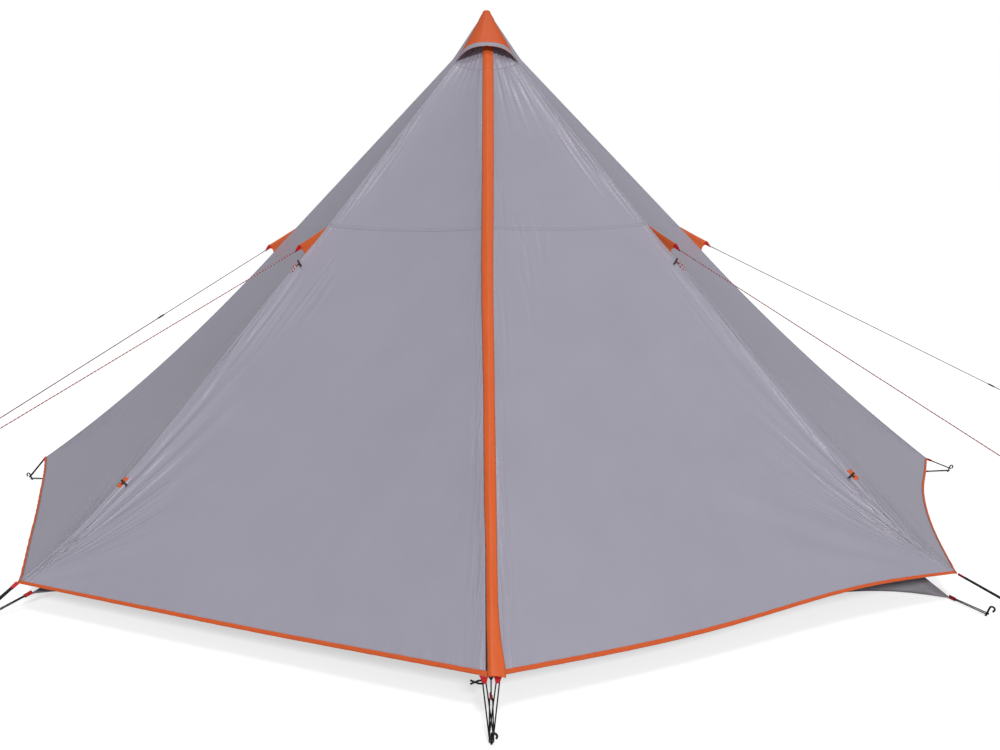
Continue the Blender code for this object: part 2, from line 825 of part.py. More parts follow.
def zip_tape(name, side_sign):
    """A flat tape in the door's plane with a bead of teeth along the ridge."""
    bottom, top, up_line = zip_line()
    _, hem, away = door_plane(side_sign)
    first, last = tape_edges(side_sign)
    foot = (BINDING_DEPTH + last * hem.dot(up_line)) / hem.dot(away) + 2 * CLEARANCE
    profile = [
        (first, -TAPE_THICKNESS),
        (first, BEAD_HEIGHT),
        (first + BEAD_WIDTH, BEAD_HEIGHT),
        (first + BEAD_WIDTH, 0),
        (last, 0),
        (last, -TAPE_THICKNESS),
    ]
    bm = bmesh.new()
    bar(bm, bottom + up_line * foot, top, away, [(across, high * side_sign) for across, high in profile])
    return add_mesh(name, bm, BLACK_CORD)


def zip_slider():
    """A saddle over both beads, with a pull hanging from a bridge."""
    bottom, _, up_line = zip_line()
    side = tangent("front")
    over = up_line.cross(side) * -1
    start = bottom + up_line * SLIDER_FROM_HEM
    half = tape_edges(1)[0] + BEAD_WIDTH + 2 * CLEARANCE
    roof = BEAD_HEIGHT + CLEARANCE
    outer = half + SLIDER_WALL
    profile = [
        (-outer, CLEARANCE),
        (-half, CLEARANCE),
        (-half, roof),
        (half, roof),
        (half, CLEARANCE),
        (outer, CLEARANCE),
        (outer, roof + SLIDER_PLATE),
        (-outer, roof + SLIDER_PLATE),
    ]
    bm = bmesh.new()
    bar(bm, start, start + up_line * SLIDER_LENGTH, side, profile)
    slider = add_mesh("zip_slider", bm, BLACK_STEEL)
    hinge = start + up_line * SLIDER_LENGTH / 2 + over * (roof + SLIDER_PLATE)
    bm = bmesh.new()
    tail = hinge - up_line * PULL_LENGTH + over * PULL_THICKNESS / 2
    outline = [
        hinge - side * PULL_WIDTH / 2,
        hinge + side * PULL_WIDTH / 2,
        tail + side * PULL_WIDTH / 2,
        tail - side * PULL_WIDTH / 2,
    ]
    prism(bm, outline, PULL_THICKNESS)
    pull = add_mesh("zip_pull", bm, BLACK_STEEL)
    return combine(slider, pull, "UNION"), start


def flap_strip(name, stations, lift_at_edge):
    """A crowned strip across the front ridge, from stations of a place on it, its outward way, flare and crown share."""
    side = tangent("front")
    columns = 6
    normal = door_plane(1)[0]
    rows = []
    bm = bmesh.new()
    for place, over, flare, crown_share in stations:
        fall = normal.dot(side) / normal.dot(over)
        line = []
        for column in range(columns + 1):
            share = column / columns
            across = -FLAP_LEFT + (FLAP_LEFT + FLAP_RIGHT + flare) * share
            crown = (FLAP_CROWN - FLAP_EDGE_LIFT) * crown_share * math.sqrt(max(0, math.sin(math.pi * share)))
            line.append(bm.verts.new(place + side * across + over * (lift_at_edge + crown - fall * abs(across))))
        rows.append(line)
    for low, high in zip(rows, rows[1:]):
        for left, right, high_right, high_left in zip(low, low[1:], high[1:], high):
            bm.faces.new((left, right, high_right, high_left))
    flap = add_mesh(name, bm, ORANGE_TAPE, closed=False)
    return thicken(flap, FLAP_THICKNESS, 1)


def storm_flap():
    """The flap over the zip, sewn to the right door and flared at the hem."""
    bottom, top, up_line = zip_line()
    over = tangent("front").cross(up_line)
    length = (top - bottom).length
    flare = FLAP_FLARE_LENGTH
    foot = BINDING_WALL + CLEARANCE
    places = [-foot, flare / 2, flare] + [flare + (length - flare) * step / 6 for step in range(1, 7)]
    stations = [(bottom + up_line * place, over, FLAP_FLARE * max(0, 1 - max(0, place) / flare), 1) for place in places]
    return flap_strip("zip_storm_flap", stations, FLAP_EDGE_LIFT)


def flap_top():
    """The flap's fixed top end, sewn down on the peak cloth above the zip."""
    stations = []
    over = ridge_frame("front", FLAP_TOP, DOOR_TOP_FRONT)[1]
    bottom = DOOR_TOP_FRONT - FLAP_SPLIT
    for radius in (bottom, (NECK_RADIUS + bottom) / 2, NECK_RADIUS, FLAP_TOP):
        share = max(0, (radius - NECK_RADIUS) / (bottom - NECK_RADIUS))
        stations.append((ridge_point("front", radius), over, 0, share + (1 - share) * FLAP_SEWN_CROWN_SHARE))
    return flap_strip("flap_top", stations, -CLOTH)


# The peak


def surface_height(radius, azimuth):
    """Height of the plain eight-sided cone at a place near the peak."""
    side = 2 * HALF_SIDE
    off_middle = (azimuth % side) - HALF_SIDE
    ridge_radius = radius * math.cos(off_middle) / math.cos(HALF_SIDE)
    return ridge_height("front", max(ridge_radius, TIP_RADIUS))


def peak_panel():
    """The fixed cloth above the zip, between the two front corner ridges, with the vent under the hood."""
    bm = bmesh.new()
    radii = {"left_front": DOOR_TOP_SIDE, "front": DOOR_TOP_FRONT, "right_front": DOOR_TOP_SIDE}
    rows = 5
    grid = []
    for row in range(rows + 1):
        line = []
        for first, second in (("left_front", "front_again"), ("front", "right_front")):
            start, end = radii[first], radii["front" if second == "front_again" else second]
            for column in range(4 + (first == "front")):
                across = column / 4
                bottom = start + (end - start) * across
                radius = TIP_RADIUS + (bottom - TIP_RADIUS) * row / rows
                insets = (SEAM_INSET if first == "left_front" else 0, SEAM_INSET if second == "right_front" else 0)
                place = panel_point(first, second, across, radius, insets)
                if row == rows:
                    up_panel = (panel_point(first, second, across, TIP_RADIUS, insets) - place).normalized()
                    place = place + up_panel * 2 * SEAM_INSET
                line.append(bm.verts.new(place))
        grid.append(line)
    for upper, lower in zip(grid, grid[1:]):
        for left, right, low_right, low_left in zip(upper, upper[1:], lower[1:], lower):
            bm.faces.new((left, low_left, low_right, right))
    panel = add_mesh("fly_peak_panel", bm, GREY_CLOTH, closed=False)
    thicken(panel, CLOTH, -1)
    return combine(panel, flap_top(), "UNION")


def vent_hood():
    """A cap over the tip that runs down the front to a raised arch with a stiff band along its edge."""
    front = math.radians(AZIMUTH_DEG["front"])
    columns = []
    for step in range(HOOD_COLUMNS + 1):
        turn = -2 * HALF_SIDE + 4 * HALF_SIDE * step / HOOD_COLUMNS
        azimuth = front + turn
        rise = max(0, math.cos(2 * turn))
        radius = HOOD_SIDE + (HOOD_FRONT - HOOD_SIDE) * rise
        height = surface_height(radius, azimuth) + HOOD_SEAT + (HOOD_LIFT - HOOD_SEAT) * math.sin(math.pi * rise / 2)
        columns.append((azimuth, radius, height, True))
    for step in range(1, HOOD_BACK_COLUMNS):
        azimuth = front + 2 * HALF_SIDE + (2 * math.pi - 4 * HALF_SIDE) * step / HOOD_BACK_COLUMNS
        columns.append((azimuth, HOOD_BACK, surface_height(HOOD_BACK, azimuth) + HOOD_SEAT, False))
    bm = bmesh.new()
    top = bm.verts.new((0, 0, TIP_HEIGHT + 2 * HOOD_SEAT))
    lines = []
    for azimuth, radius, height, long_side in columns:
        direction = Vector((math.cos(azimuth), math.sin(azimuth), 0))
        start = direction * HOOD_TIP + UP * (TIP_HEIGHT + HOOD_SEAT)
        end = direction * radius + UP * height
        line = [bm.verts.new(start)]
        if long_side:
            first = (HOOD_BACK - HOOD_TIP) / (radius - HOOD_TIP)
            shares = [first + (1 - first) * ring / HOOD_RINGS for ring in range(HOOD_RINGS + 1)]
            line += [bm.verts.new(start.lerp(end, share)) for share in shares]
        else:
            line.append(bm.verts.new(end))
        lines.append(line)
    for index, line in enumerate(lines):
        following = lines[(index + 1) % len(lines)]
        bm.faces.new((top, line[0], following[0]))
        for upper in range(min(len(line), len(following)) - 1):
            bm.faces.new((line[upper], line[upper + 1], following[upper + 1], following[upper]))
    hood = add_mesh("vent_hood", bm, ORANGE_TAPE, closed=False)
    return thicken(hood, HOOD_CLOTH, 1)


# The centre pole


def pole_pieces():
    floor_top = FLOOR_SHEET + CLEARANCE
    lower_base = floor_top + FOOT_SOLE + CLEARANCE
    bore = POLE_UPPER_RADIUS + CLEARANCE
    foot_bore = POLE_LOWER_RADIUS + CLEARANCE
    foot = lathe(
        "pole_foot",
        [
            (0, floor_top),
            (FOOT_RADIUS, floor_top),
            (FOOT_RADIUS, floor_top + FOOT_SOLE),
            (foot_bore + POLE_WALL, floor_top + FOOT_HEIGHT),
            (foot_bore, floor_top + FOOT_HEIGHT),
            (foot_bore, floor_top + FOOT_SOLE),
            (0, floor_top + FOOT_SOLE),
        ],
        16,
        RUBBER,
    )
    lower = lathe(
        "pole_lower_section",
        [
            (POLE_LOWER_RADIUS, lower_base),
            (POLE_LOWER_RADIUS, POLE_JOINT_HEIGHT),
            (bore, POLE_JOINT_HEIGHT),
            (bore, lower_base),
        ],
        16,
        POLE_METAL,
        ring=True,
    )
    upper_base = POLE_JOINT_HEIGHT - POLE_OVERLAP
    shoulder = TIP_HEIGHT - SPIGOT_LENGTH
    inside = POLE_UPPER_RADIUS - POLE_WALL
    upper = lathe(
        "pole_upper_section",
        [
            (POLE_UPPER_RADIUS, upper_base),
            (POLE_UPPER_RADIUS, shoulder),
            (SPIGOT_RADIUS, shoulder + SPIGOT_RADIUS),
            (SPIGOT_RADIUS, TIP_HEIGHT - CLEARANCE),
            (0, TIP_HEIGHT + 2 * HOOD_SEAT - CLEARANCE),
            (0, shoulder - POLE_WALL),
            (inside, shoulder - POLE_WALL),
            (inside, upper_base),
        ],
        16,
        POLE_METAL,
        ring=True,
    )
    return [foot, lower, upper]


# The inner tent


def floor_corner(azimuth_deg):
    angle = math.radians(azimuth_deg)
    away = Vector((math.cos(angle), math.sin(angle), 0))
    return away * (FLOOR_RADIUS - TUB_LEAN * LOOP_SPREAD / TUB_HEIGHT) + UP * LOOP_SPREAD


def tub_ring(radius, height, cut, set_back):
    """Places round the tub at a corner radius, with each side drawn in between its corners."""
    names = list(AZIMUTH_DEG)[:-1]
    places = []
    for index, ridge in enumerate(names):
        following = names[(index + 1) % SIDES]
        one, two = (outward(name) * (radius - (set_back if name == "front" else 0)) for name in (ridge, following))
        inward = (one + two).normalized()
        for share in TUB_SHARES:
            drawn_in = cut * (1 - abs(1 - 2 * share) ** TUB_CURVE)
            places.append(one.lerp(two, share) - inward * drawn_in + UP * height)
    return places


def inner_floor():
    """A tub of coated cloth with its corners pulled out by tabs and elastic loops."""
    rings = (
        (FLOOR_RADIUS, 0, FLOOR_CUT),
        (FLOOR_RADIUS - TUB_LEAN, TUB_HEIGHT, TUB_TOP_CUT),
        (FLOOR_RADIUS - TUB_LEAN - FLOOR_SHEET, TUB_HEIGHT, TUB_TOP_CUT),
        (FLOOR_RADIUS - TUB_LEAN * FLOOR_SHEET / TUB_HEIGHT - FLOOR_SHEET, FLOOR_SHEET, FLOOR_CUT),
    )
    bm = bmesh.new()
    lines = [[bm.verts.new(place) for place in tub_ring(radius, height, cut, FRONT_SET_BACK)] for radius, height, cut in rings]
    middles = [bm.verts.new((0, 0, 0)), bm.verts.new((0, 0, FLOOR_SHEET))]
    for index in range(len(lines[0])):
        other = (index + 1) % len(lines[0])
        for ring, following in zip(lines, lines[1:]):
            bm.faces.new((ring[index], ring[other], following[other], following[index]))
        for middle, line in zip(middles, (lines[0], lines[-1])):
            bm.faces.new((middle, line[index], line[other]))
    floor = add_mesh("inner_floor", bm, FLOOR_CLOTH)
    for ridge, reach in TIE_REACH.items():
        azimuth_deg, radius = AZIMUTH_DEG[ridge], CORNER_RADIUS + reach
        if ridge == "right_front":
            azimuth_deg, radius = AZIMUTH_DEG[ridge] + INNER_PEG_TURN_DEG, INNER_PEG_RADIUS
        tie = corner_tie("inner_tie_" + ridge, floor_corner(AZIMUTH_DEG[ridge]), azimuth_deg, radius, INNER_TIE_LEVEL)
        combine(floor, tie, "UNION")
    tab = floor_corner(AZIMUTH_DEG["front"])
    strand = [tab - outward("front") * (FRONT_SET_BACK + LOOP_ROOT + FLOOR_SHEET), tab + outward("front") * LOOP_ROOT]
    combine(floor, tube_mesh("inner_tie_front_strand", strand, LOOP_RADIUS, RED_WEBBING), "UNION")
    return floor


def fly_radius(height):
    """The fly's radius on a guyed ridge at a height."""
    places = stations("left_front")
    for (inner, high), (outer, low) in zip(places, places[1:]):
        if height >= low:
            return inner + (outer - inner) * (high - height) / (high - low)
    return CORNER_RADIUS


def inner_canopy():
    """A fine mesh tent standing on the tub and under the fly, with an open doorway over the two front sides."""
    low_radius = FLOOR_RADIUS - TUB_LEAN - FLOOR_SHEET / 2
    low = TUB_HEIGHT + MESH_THICKNESS + CLEARANCE
    collar = (POLE_UPPER_RADIUS + CLEARANCE + MESH_THICKNESS) / math.cos(HALF_SIDE)
    heights = [low, DOORWAY_SILL, (DOORWAY_SILL + DOORWAY_HEAD) / 2, DOORWAY_HEAD, INNER_PEAK]
    bm = bmesh.new()
    lines = []
    for height in heights:
        rise = (height - low) / (INNER_PEAK - low)
        radius = low_radius + (collar - low_radius) * rise
        if 0 < rise < 1:
            radius = min(radius, fly_radius(height + INNER_DROP))
        ring = tub_ring(radius, height, TUB_TOP_CUT * (1 - rise), FRONT_SET_BACK * (1 - rise))
        lines.append([bm.verts.new(place) for place in ring])
    names = list(AZIMUTH_DEG)[:-1]
    for index in range(len(lines[0])):
        other = (index + 1) % len(lines[0])
        ridge, share = names[index // len(TUB_SHARES)], TUB_SHARES[index % len(TUB_SHARES)]
        in_front = ridge == "front" and share < 1 - DOORWAY_JAMB_SHARE
        in_left = ridge == "left_front" and share >= DOORWAY_JAMB_SHARE
        for band, (ring, following) in enumerate(zip(lines, lines[1:])):
            if (in_front or in_left) and band in (1, 2):
                continue
            bm.faces.new((ring[index], ring[other], following[other], following[index]))
    canopy = add_mesh("inner_canopy", bm, INNER_MESH, closed=False)
    return thicken(canopy, MESH_THICKNESS, -1)


# Assembly


def make_fly():
    tip = (TIP_RADIUS, TIP_RADIUS)
    seams = (SEAM_INSET, SEAM_INSET)
    fixed = [
        ("fly_panel_right_front", "right_front", "right"),
        ("fly_panel_right_rear", "right", "right_rear"),
        ("fly_panel_rear_right", "right_rear", "rear"),
        ("fly_panel_rear_left", "rear", "left_rear"),
        ("fly_panel_left_rear", "left_rear", "left"),
        ("fly_panel_left_front", "left", "left_front"),
    ]
    for name, first, second in fixed:
        cloth_panel(name, first, second, tip, seams, SIDE_HEM_CUT, PANEL_COLUMNS, GREY_CLOTH)
    ridges = ["right_front", "right", "right_rear", "rear", "left_rear", "left", "left_front"]
    binding("hem_binding_fixed", ridges, SIDE_HEM_CUT, PANEL_COLUMNS)
    peak_panel()
    vent_hood()
    left_tops = (DOOR_TOP_SIDE, DOOR_TOP_FRONT)
    left = cloth_panel(
        "fly_door_left", "left_front", "front_again", left_tops,
        (SEAM_INSET, tape_inset(-1)), FRONT_HEM_CUT, DOOR_COLUMNS, GREY_CLOTH,
    )
    right = cloth_panel(
        "fly_door_right", "front", "right_front", left_tops[::-1],
        (tape_inset(1), SEAM_INSET), FRONT_HEM_CUT, DOOR_COLUMNS, GREY_CLOTH,
    )
    left_edge = binding("hem_binding_door_left", ["left_front", "front_again"], FRONT_HEM_CUT, DOOR_COLUMNS)
    right_edge = binding("hem_binding_door_right", ["front", "right_front"], FRONT_HEM_CUT, DOOR_COLUMNS)
    left_tape = zip_tape("zip_tape_left", -1)
    right_tape = zip_tape("zip_tape_right", 1)
    flap = storm_flap()
    slider, slider_place = zip_slider()
    left_tie = front_tie("left", "left_front", -FRONT_TIE_OFFSET, FLY_TIE_LEVEL)
    right_tie = front_tie("right", "right_front", FRONT_TIE_OFFSET, SECOND_TIE_LEVEL)
    for side, pieces in (
        ("left", [left, left_edge, left_tape, left_tie]),
        ("right", [right, right_edge, right_tape, right_tie, flap]),
    ):
        place = door_hinge(side + "_front")[0]
        carry(body_pivot("door_" + side + "_hinge", place), place, pieces)
    carry(body_pivot("zip_slider_place", slider_place), slider_place, [slider])


def door_hinge(ridge):
    """A point on the door's hinge line and its direction down the ridge, just proud of the binding."""
    down, lift = ridge_frame(ridge, HOOD_SIDE, CORNER_RADIUS)
    proud = lift * (BINDING_PLAY + BINDING_WALL + CLEARANCE)
    return ridge_point(ridge, CORNER_RADIUS) + proud, down


def make_corners():
    for ridge, reach in TIE_REACH.items():
        radius = CORNER_RADIUS + reach
        peg("corner_peg_" + ridge, AZIMUTH_DEG[ridge], radius)
        if ridge != "front":
            corner_tie("corner_tie_" + ridge, below_hem(ridge), AZIMUTH_DEG[ridge], radius, FLY_TIE_LEVEL)
    azimuth_deg = AZIMUTH_DEG["right_front"] + INNER_PEG_TURN_DEG
    peg("inner_peg_right_front", azimuth_deg, INNER_PEG_RADIUS)


def make_guys():
    for ridge in GUYED:
        guy_fin(ridge)
        guyline(ridge)
        peg("guy_peg_" + ridge, AZIMUTH_DEG[ridge], GUY_PEG_RADIUS[ridge])
        runner, _ = guy_runner(ridge)
        place = runner_place(ridge)[0]
        carry(body_pivot("guy_runner_place_" + ridge, place), place, [runner])


def make_toggles():
    for side in ("left", "right"):
        for level in TOGGLE_RADII:
            piece, seat = toggle(level, side)
            carry(body_pivot("toggle_seat_" + level + "_" + side, seat), seat, [piece])


clear_scene()
make_fly()
make_corners()
make_guys()
make_toggles()
pole_pieces()
inner_floor()
inner_canopy()
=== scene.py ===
"""Dresses the family pyramid tent: hung cloth with its creases, bindings, flap, hood, fins, lines, ties and pegs.

Metres, +Z up. The zipped front faces -Y and +X is to the right.
"""

import math

import bmesh
import bpy
import numpy as np
from mathutils import Matrix, Vector


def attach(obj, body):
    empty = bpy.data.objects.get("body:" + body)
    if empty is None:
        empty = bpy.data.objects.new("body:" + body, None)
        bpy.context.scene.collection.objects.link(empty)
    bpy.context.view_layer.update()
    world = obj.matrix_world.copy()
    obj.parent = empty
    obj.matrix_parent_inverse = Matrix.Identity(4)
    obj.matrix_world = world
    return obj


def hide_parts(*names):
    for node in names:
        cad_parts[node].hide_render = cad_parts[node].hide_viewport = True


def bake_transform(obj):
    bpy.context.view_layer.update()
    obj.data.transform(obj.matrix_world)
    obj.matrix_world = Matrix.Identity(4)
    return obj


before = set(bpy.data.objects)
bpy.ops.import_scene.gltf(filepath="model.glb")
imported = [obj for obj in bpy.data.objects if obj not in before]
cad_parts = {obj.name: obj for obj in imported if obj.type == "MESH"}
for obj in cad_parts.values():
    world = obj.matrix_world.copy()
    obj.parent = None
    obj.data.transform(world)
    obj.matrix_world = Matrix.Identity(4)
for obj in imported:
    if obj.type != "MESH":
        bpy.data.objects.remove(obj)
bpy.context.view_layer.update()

# Sizes of the solids, repeated
CORNER_RADIUS, HEM_HEIGHT = 2.15, 0.095
GUY_RADIUS, GUY_HEIGHT = 0.968, 1.17
NECK_RADIUS, NECK_HEIGHT = 0.155, 1.992
TIP_RADIUS, TIP_HEIGHT = 0.012, 2.195
SEAM_INSET = 0.001
PANEL_SAG = 0.022
RIDGE_HOLLOW = {"left_front": 0.061, "left": 0.037, "right": 0.042, "right_front": 0.058}
HOLLOW_SKEW = {"left_front": 1.8, "left": 1, "right": 1, "right_front": 1.8}
SIDE_REACH = 0.046
SIDE_HEM_CUT = 0.045
DOOR_TOP_SIDE, DOOR_TOP_FRONT = 0.20, 0.25
PEG_RADIUS, PEG_LEAN_DEG = 0.003, 18
TIE_REACH = {
    "front": 0.140, "right_front": 0.205, "right": 0.155, "right_rear": 0.140,
    "rear": 0.140, "left_rear": 0.140, "left": 0.122, "left_front": 0.105,
}
GUY_PEG_RADIUS = {"left": 2.875, "left_front": 3.345, "right": 3.342, "right_front": 3.14}
RUNNER_RADIUS = {"left": 1.58, "left_front": 2.72, "right": 2.49, "right_front": 2.60}
GUY_LOOP_RADIUS, GUY_LEVEL = 0.0066, 0.024
FIN_ROOTS = (0.925, 0.968, 1.020)
FIN_REACH, FIN_NOSE, FIN_WEBBING = 0.082, 0.016, 0.016
INNER_PEG_RADIUS, INNER_PEG_TURN_DEG = 2.257, -1.4
AZIMUTH_DEG = {
    "front": 270, "right_front": 315, "right": 360, "right_rear": 405,
    "rear": 450, "left_rear": 495, "left": 540, "left_front": 585, "front_again": 630,
}
GUYED = ("left_front", "left", "right", "right_front")
HALF_SIDE = math.pi / 8
UP = np.array((0.0, 0.0, 1.0))
PANEL_FOOT, PANEL_LONG = 1.6456, 2.80

# Sizes of the scene alone. A hem's cut is a sum of sine waves, one, two and three halves to the panel.
CLOTH = 0.0012
GUY_CORD_RADIUS = 0.0019
HEM_CUTS = {
    "door_left": (-0.004,), "door_right": (0.0035, -0.0125, 0.0035),
    "side_left": (0.012,), "side_right": (0.062, 0.012),
}
CORNER_LIFT = {"left": 0.020, "right": -0.026}


def linked(name, data):
    """An object of some data, in the scene."""
    obj = bpy.data.objects.new(name, data)
    bpy.context.scene.collection.objects.link(obj)
    return obj


# Camera, world and lamps

CAMERA_PLACE, CAMERA_LENS, CAMERA_SENSOR, CAMERA_FAR = (0.0009, -4.1569, 1.1913), 30.913, 36, 200
CAMERA_TURN_DEG, CAMERA_TILT_DEG, CAMERA_ROLL_DEG = -0.728, 80.711, -0.294
WORLD_COLOUR, WORLD_STRENGTH = (0.93, 0.96, 1, 1), 0.30

camera = linked("camera", bpy.data.cameras.new("camera"))
camera.location = CAMERA_PLACE
turned = Matrix.Rotation(math.radians(CAMERA_TURN_DEG), 3, "Z")
tilted = Matrix.Rotation(math.radians(CAMERA_TILT_DEG), 3, "X")
rolled = Matrix.Rotation(math.radians(CAMERA_ROLL_DEG), 3, "Z")
camera.rotation_euler = (turned @ tilted @ rolled).to_euler()
camera.data.lens = CAMERA_LENS
camera.data.sensor_width = CAMERA_SENSOR
camera.data.clip_end = CAMERA_FAR
bpy.context.scene.camera = camera
bpy.context.scene.view_settings.view_transform = "Standard"


def only_seen(tree):
    """1 for camera and transmission rays, 0 for all others."""
    path = tree.nodes.new("ShaderNodeLightPath")
    top = tree.nodes.new("ShaderNodeMath")
    top.operation = "MAXIMUM"
    tree.links.new(path.outputs["Is Camera Ray"], top.inputs[0])
    tree.links.new(path.outputs["Is Transmission Ray"], top.inputs[1])
    return top.outputs[0]


world = bpy.data.worlds.new("world")
bpy.context.scene.world = world
world.use_nodes = True
tree = world.node_tree
tree.nodes.clear()
seen = tree.nodes.new("ShaderNodeBackground")
seen.inputs["Color"].default_value = (1, 1, 1, 1)
lit = tree.nodes.new("ShaderNodeBackground")
lit.inputs["Color"].default_value = WORLD_COLOUR
lit.inputs["Strength"].default_value = WORLD_STRENGTH
blend = tree.nodes.new("ShaderNodeMixShader")
out = tree.nodes.new("ShaderNodeOutputWorld")
tree.links.new(only_seen(tree), blend.inputs[0])
tree.links.new(lit.outputs[0], blend.inputs[1])
tree.links.new(seen.outputs[0], blend.inputs[2])
tree.links.new(blend.outputs[0], out.inputs["Surface"])


def sun(name, azimuth_deg, height_deg, strength, softness_deg):
    """An even light from a compass direction, 0 in front and positive to the right, at a height."""
    lamp = bpy.data.lights.new(name, "SUN")
    lamp.energy = strength
    lamp.angle = math.radians(softness_deg)
    obj = linked(name, lamp)
    azimuth, height = math.radians(azimuth_deg), math.radians(height_deg)
    towards = Vector((math.sin(azimuth) * math.cos(height), -math.cos(azimuth) * math.cos(height), math.sin(height)))
    obj.rotation_euler = towards.to_track_quat("Z", "Y").to_euler()


sun("key", azimuth_deg=13, height_deg=34, strength=1.85, softness_deg=12)
sun("top", azimuth_deg=8, height_deg=80, strength=0.80, softness_deg=18)


# Shapes of the ridges, as arrays

def outward(ridge):
    angle = math.radians(AZIMUTH_DEG[ridge])
    return np.array((math.cos(angle), math.sin(angle), 0.0))


def tangent(ridge):
    return np.cross(UP, outward(ridge))


def unit(vector):
    return vector / np.linalg.norm(vector)


def ridge_height(ridge, radius):
    places = [(TIP_RADIUS, TIP_HEIGHT), (NECK_RADIUS, NECK_HEIGHT)]
    places += [(GUY_RADIUS, GUY_HEIGHT)] if ridge in GUYED else []
    places.append((CORNER_RADIUS, HEM_HEIGHT))
    (inner, high), (outer, low) = places[-2:]
    below = (low - high) / (outer - inner) * np.maximum(0, radius - outer)
    way = below_guy(radius) ** HOLLOW_SKEW.get(ridge, 1)
    hollow = RIDGE_HOLLOW.get(ridge, 0) * 4 * way * (1 - way) - CORNER_LIFT.get(ridge, 0) * below_guy(radius) ** 3
    return np.interp(radius, [p[0] for p in places], [p[1] for p in places]) + below - hollow


def below_guy(radius):
    """0 at the guy point and above it, 1 at the corner."""
    return np.clip((np.asarray(radius, float) - GUY_RADIUS) / (CORNER_RADIUS - GUY_RADIUS), 0, 1)


def ridge_point(ridge, radius):
    """Points on the ridge. The side corners are pulled further out than the others."""
    radius = np.asarray(radius, float)
    reach = SIDE_REACH * below_guy(radius) ** 2 if ridge in ("left", "right") else 0
    flat = (radius + reach)[..., None] * outward(ridge)
    return flat + ridge_height(ridge, radius)[..., None] * UP


def ridge_frame(ridge, inner, outer):
    down = unit(ridge_point(ridge, outer) - ridge_point(ridge, inner))
    return down, -np.cross(tangent(ridge), down)


def panel_normal(first, second):
    low_first, low_second = ridge_point(first, CORNER_RADIUS), ridge_point(second, CORNER_RADIUS)
    middle = (ridge_point(first, NECK_RADIUS) + ridge_point(second, NECK_RADIUS)) / 2
    return unit(np.cross(low_second - low_first, middle - low_first))


# The hung cloth. Each panel has level places u across from its middle and v up its slope, in metres.

SLOPE = 1.296
WIDE = 2 * math.sin(HALF_SIDE)
LEVEL_AT_FIN, HELD_RADIUS = 0.905, 0.05
CREASE_DEPTH, CREASE_WIDTH = 2.1, 0.85
VALLEY_DEPTH, VALLEY_WIDTH = 0.45, 2.1
GATHER_DEPTH, GATHER_RADIUS = 0.0042, 0.13
SWELL_DEPTH, GROOVE_DEPTH, GROOVE_BELOW, GROOVE_WIDTH = 0.0035, 0.0014, 0.004, 0.006
HEM_PUCKER_DEPTH, HEM_PUCKER_HIGH = 0.0007, 0.03
ROWS_DRAWN_WITHIN, EDGE_HELD_WITHIN = 0.15, 0.014
PANELS = {
    "door_left": ("left_front", "front_again"),
    "door_right": ("front", "right_front"),
    "side_right": ("right_front", "right"),
    "rear_side_right": ("right", "right_rear"),
    "rear_right": ("right_rear", "rear"),
    "rear_left": ("rear", "left_rear"),
    "rear_side_left": ("left_rear", "left"),
    "side_left": ("left", "left_front"),
}


def bell(off, width):
    """1 at 0, falling off evenly on both sides."""
    return np.exp(-((off / width) ** 2))


def local(across, radius):
    return (across - 0.5) * WIDE * radius, SLOPE * (CORNER_RADIUS - radius)


def crease(u, v, start, end, depth, width, spread=1.0, bow=0.0):
    """A fold along a line, with a rounded crest and two shallow sides. Depth is outwards."""
    start, end = np.array(start), np.array(end)
    along = end - start
    length = np.linalg.norm(along)
    along = along / length
    du, dv = u - start[0], v - start[1]
    share = (du * along[0] + dv * along[1]) / length
    off = -du * along[1] + dv * along[0] - bow * 4 * np.clip(share, 0, 1) * (1 - np.clip(share, 0, 1))
    wide = width * (1 + (spread - 1) * np.clip(share, 0, 1))
    fade = np.where((share > 0) & (share < 1), np.sin(np.pi * np.clip(share, 0, 1)) ** 0.8, 0)
    return depth * fade * (bell(off, wide) - VALLEY_DEPTH * bell(off, VALLEY_WIDTH * wide))


def polar(corner, angle_deg, start, end):
    """A line from a lower corner, -1 left and 1 right, at an angle above the hem, between two distances."""
    base = corner * WIDE * CORNER_RADIUS / 2
    angle = math.radians(angle_deg)
    way = np.array((-corner * math.cos(angle), math.sin(angle)))
    return (base + way[0] * start, way[1] * start), (base + way[0] * end, way[1] * end)


def beside(side, radius_from, radius_to, off_from, off_to):
    """A line between two radii, at distances in from a panel's left (-1) or right (1) ridge."""
    ends = []
    for radius, off in ((radius_from, off_from), (radius_to, off_to)):
        ends.append((side * (WIDE * radius / 2 - off), SLOPE * (CORNER_RADIUS - radius)))
    return ends[0], ends[1]


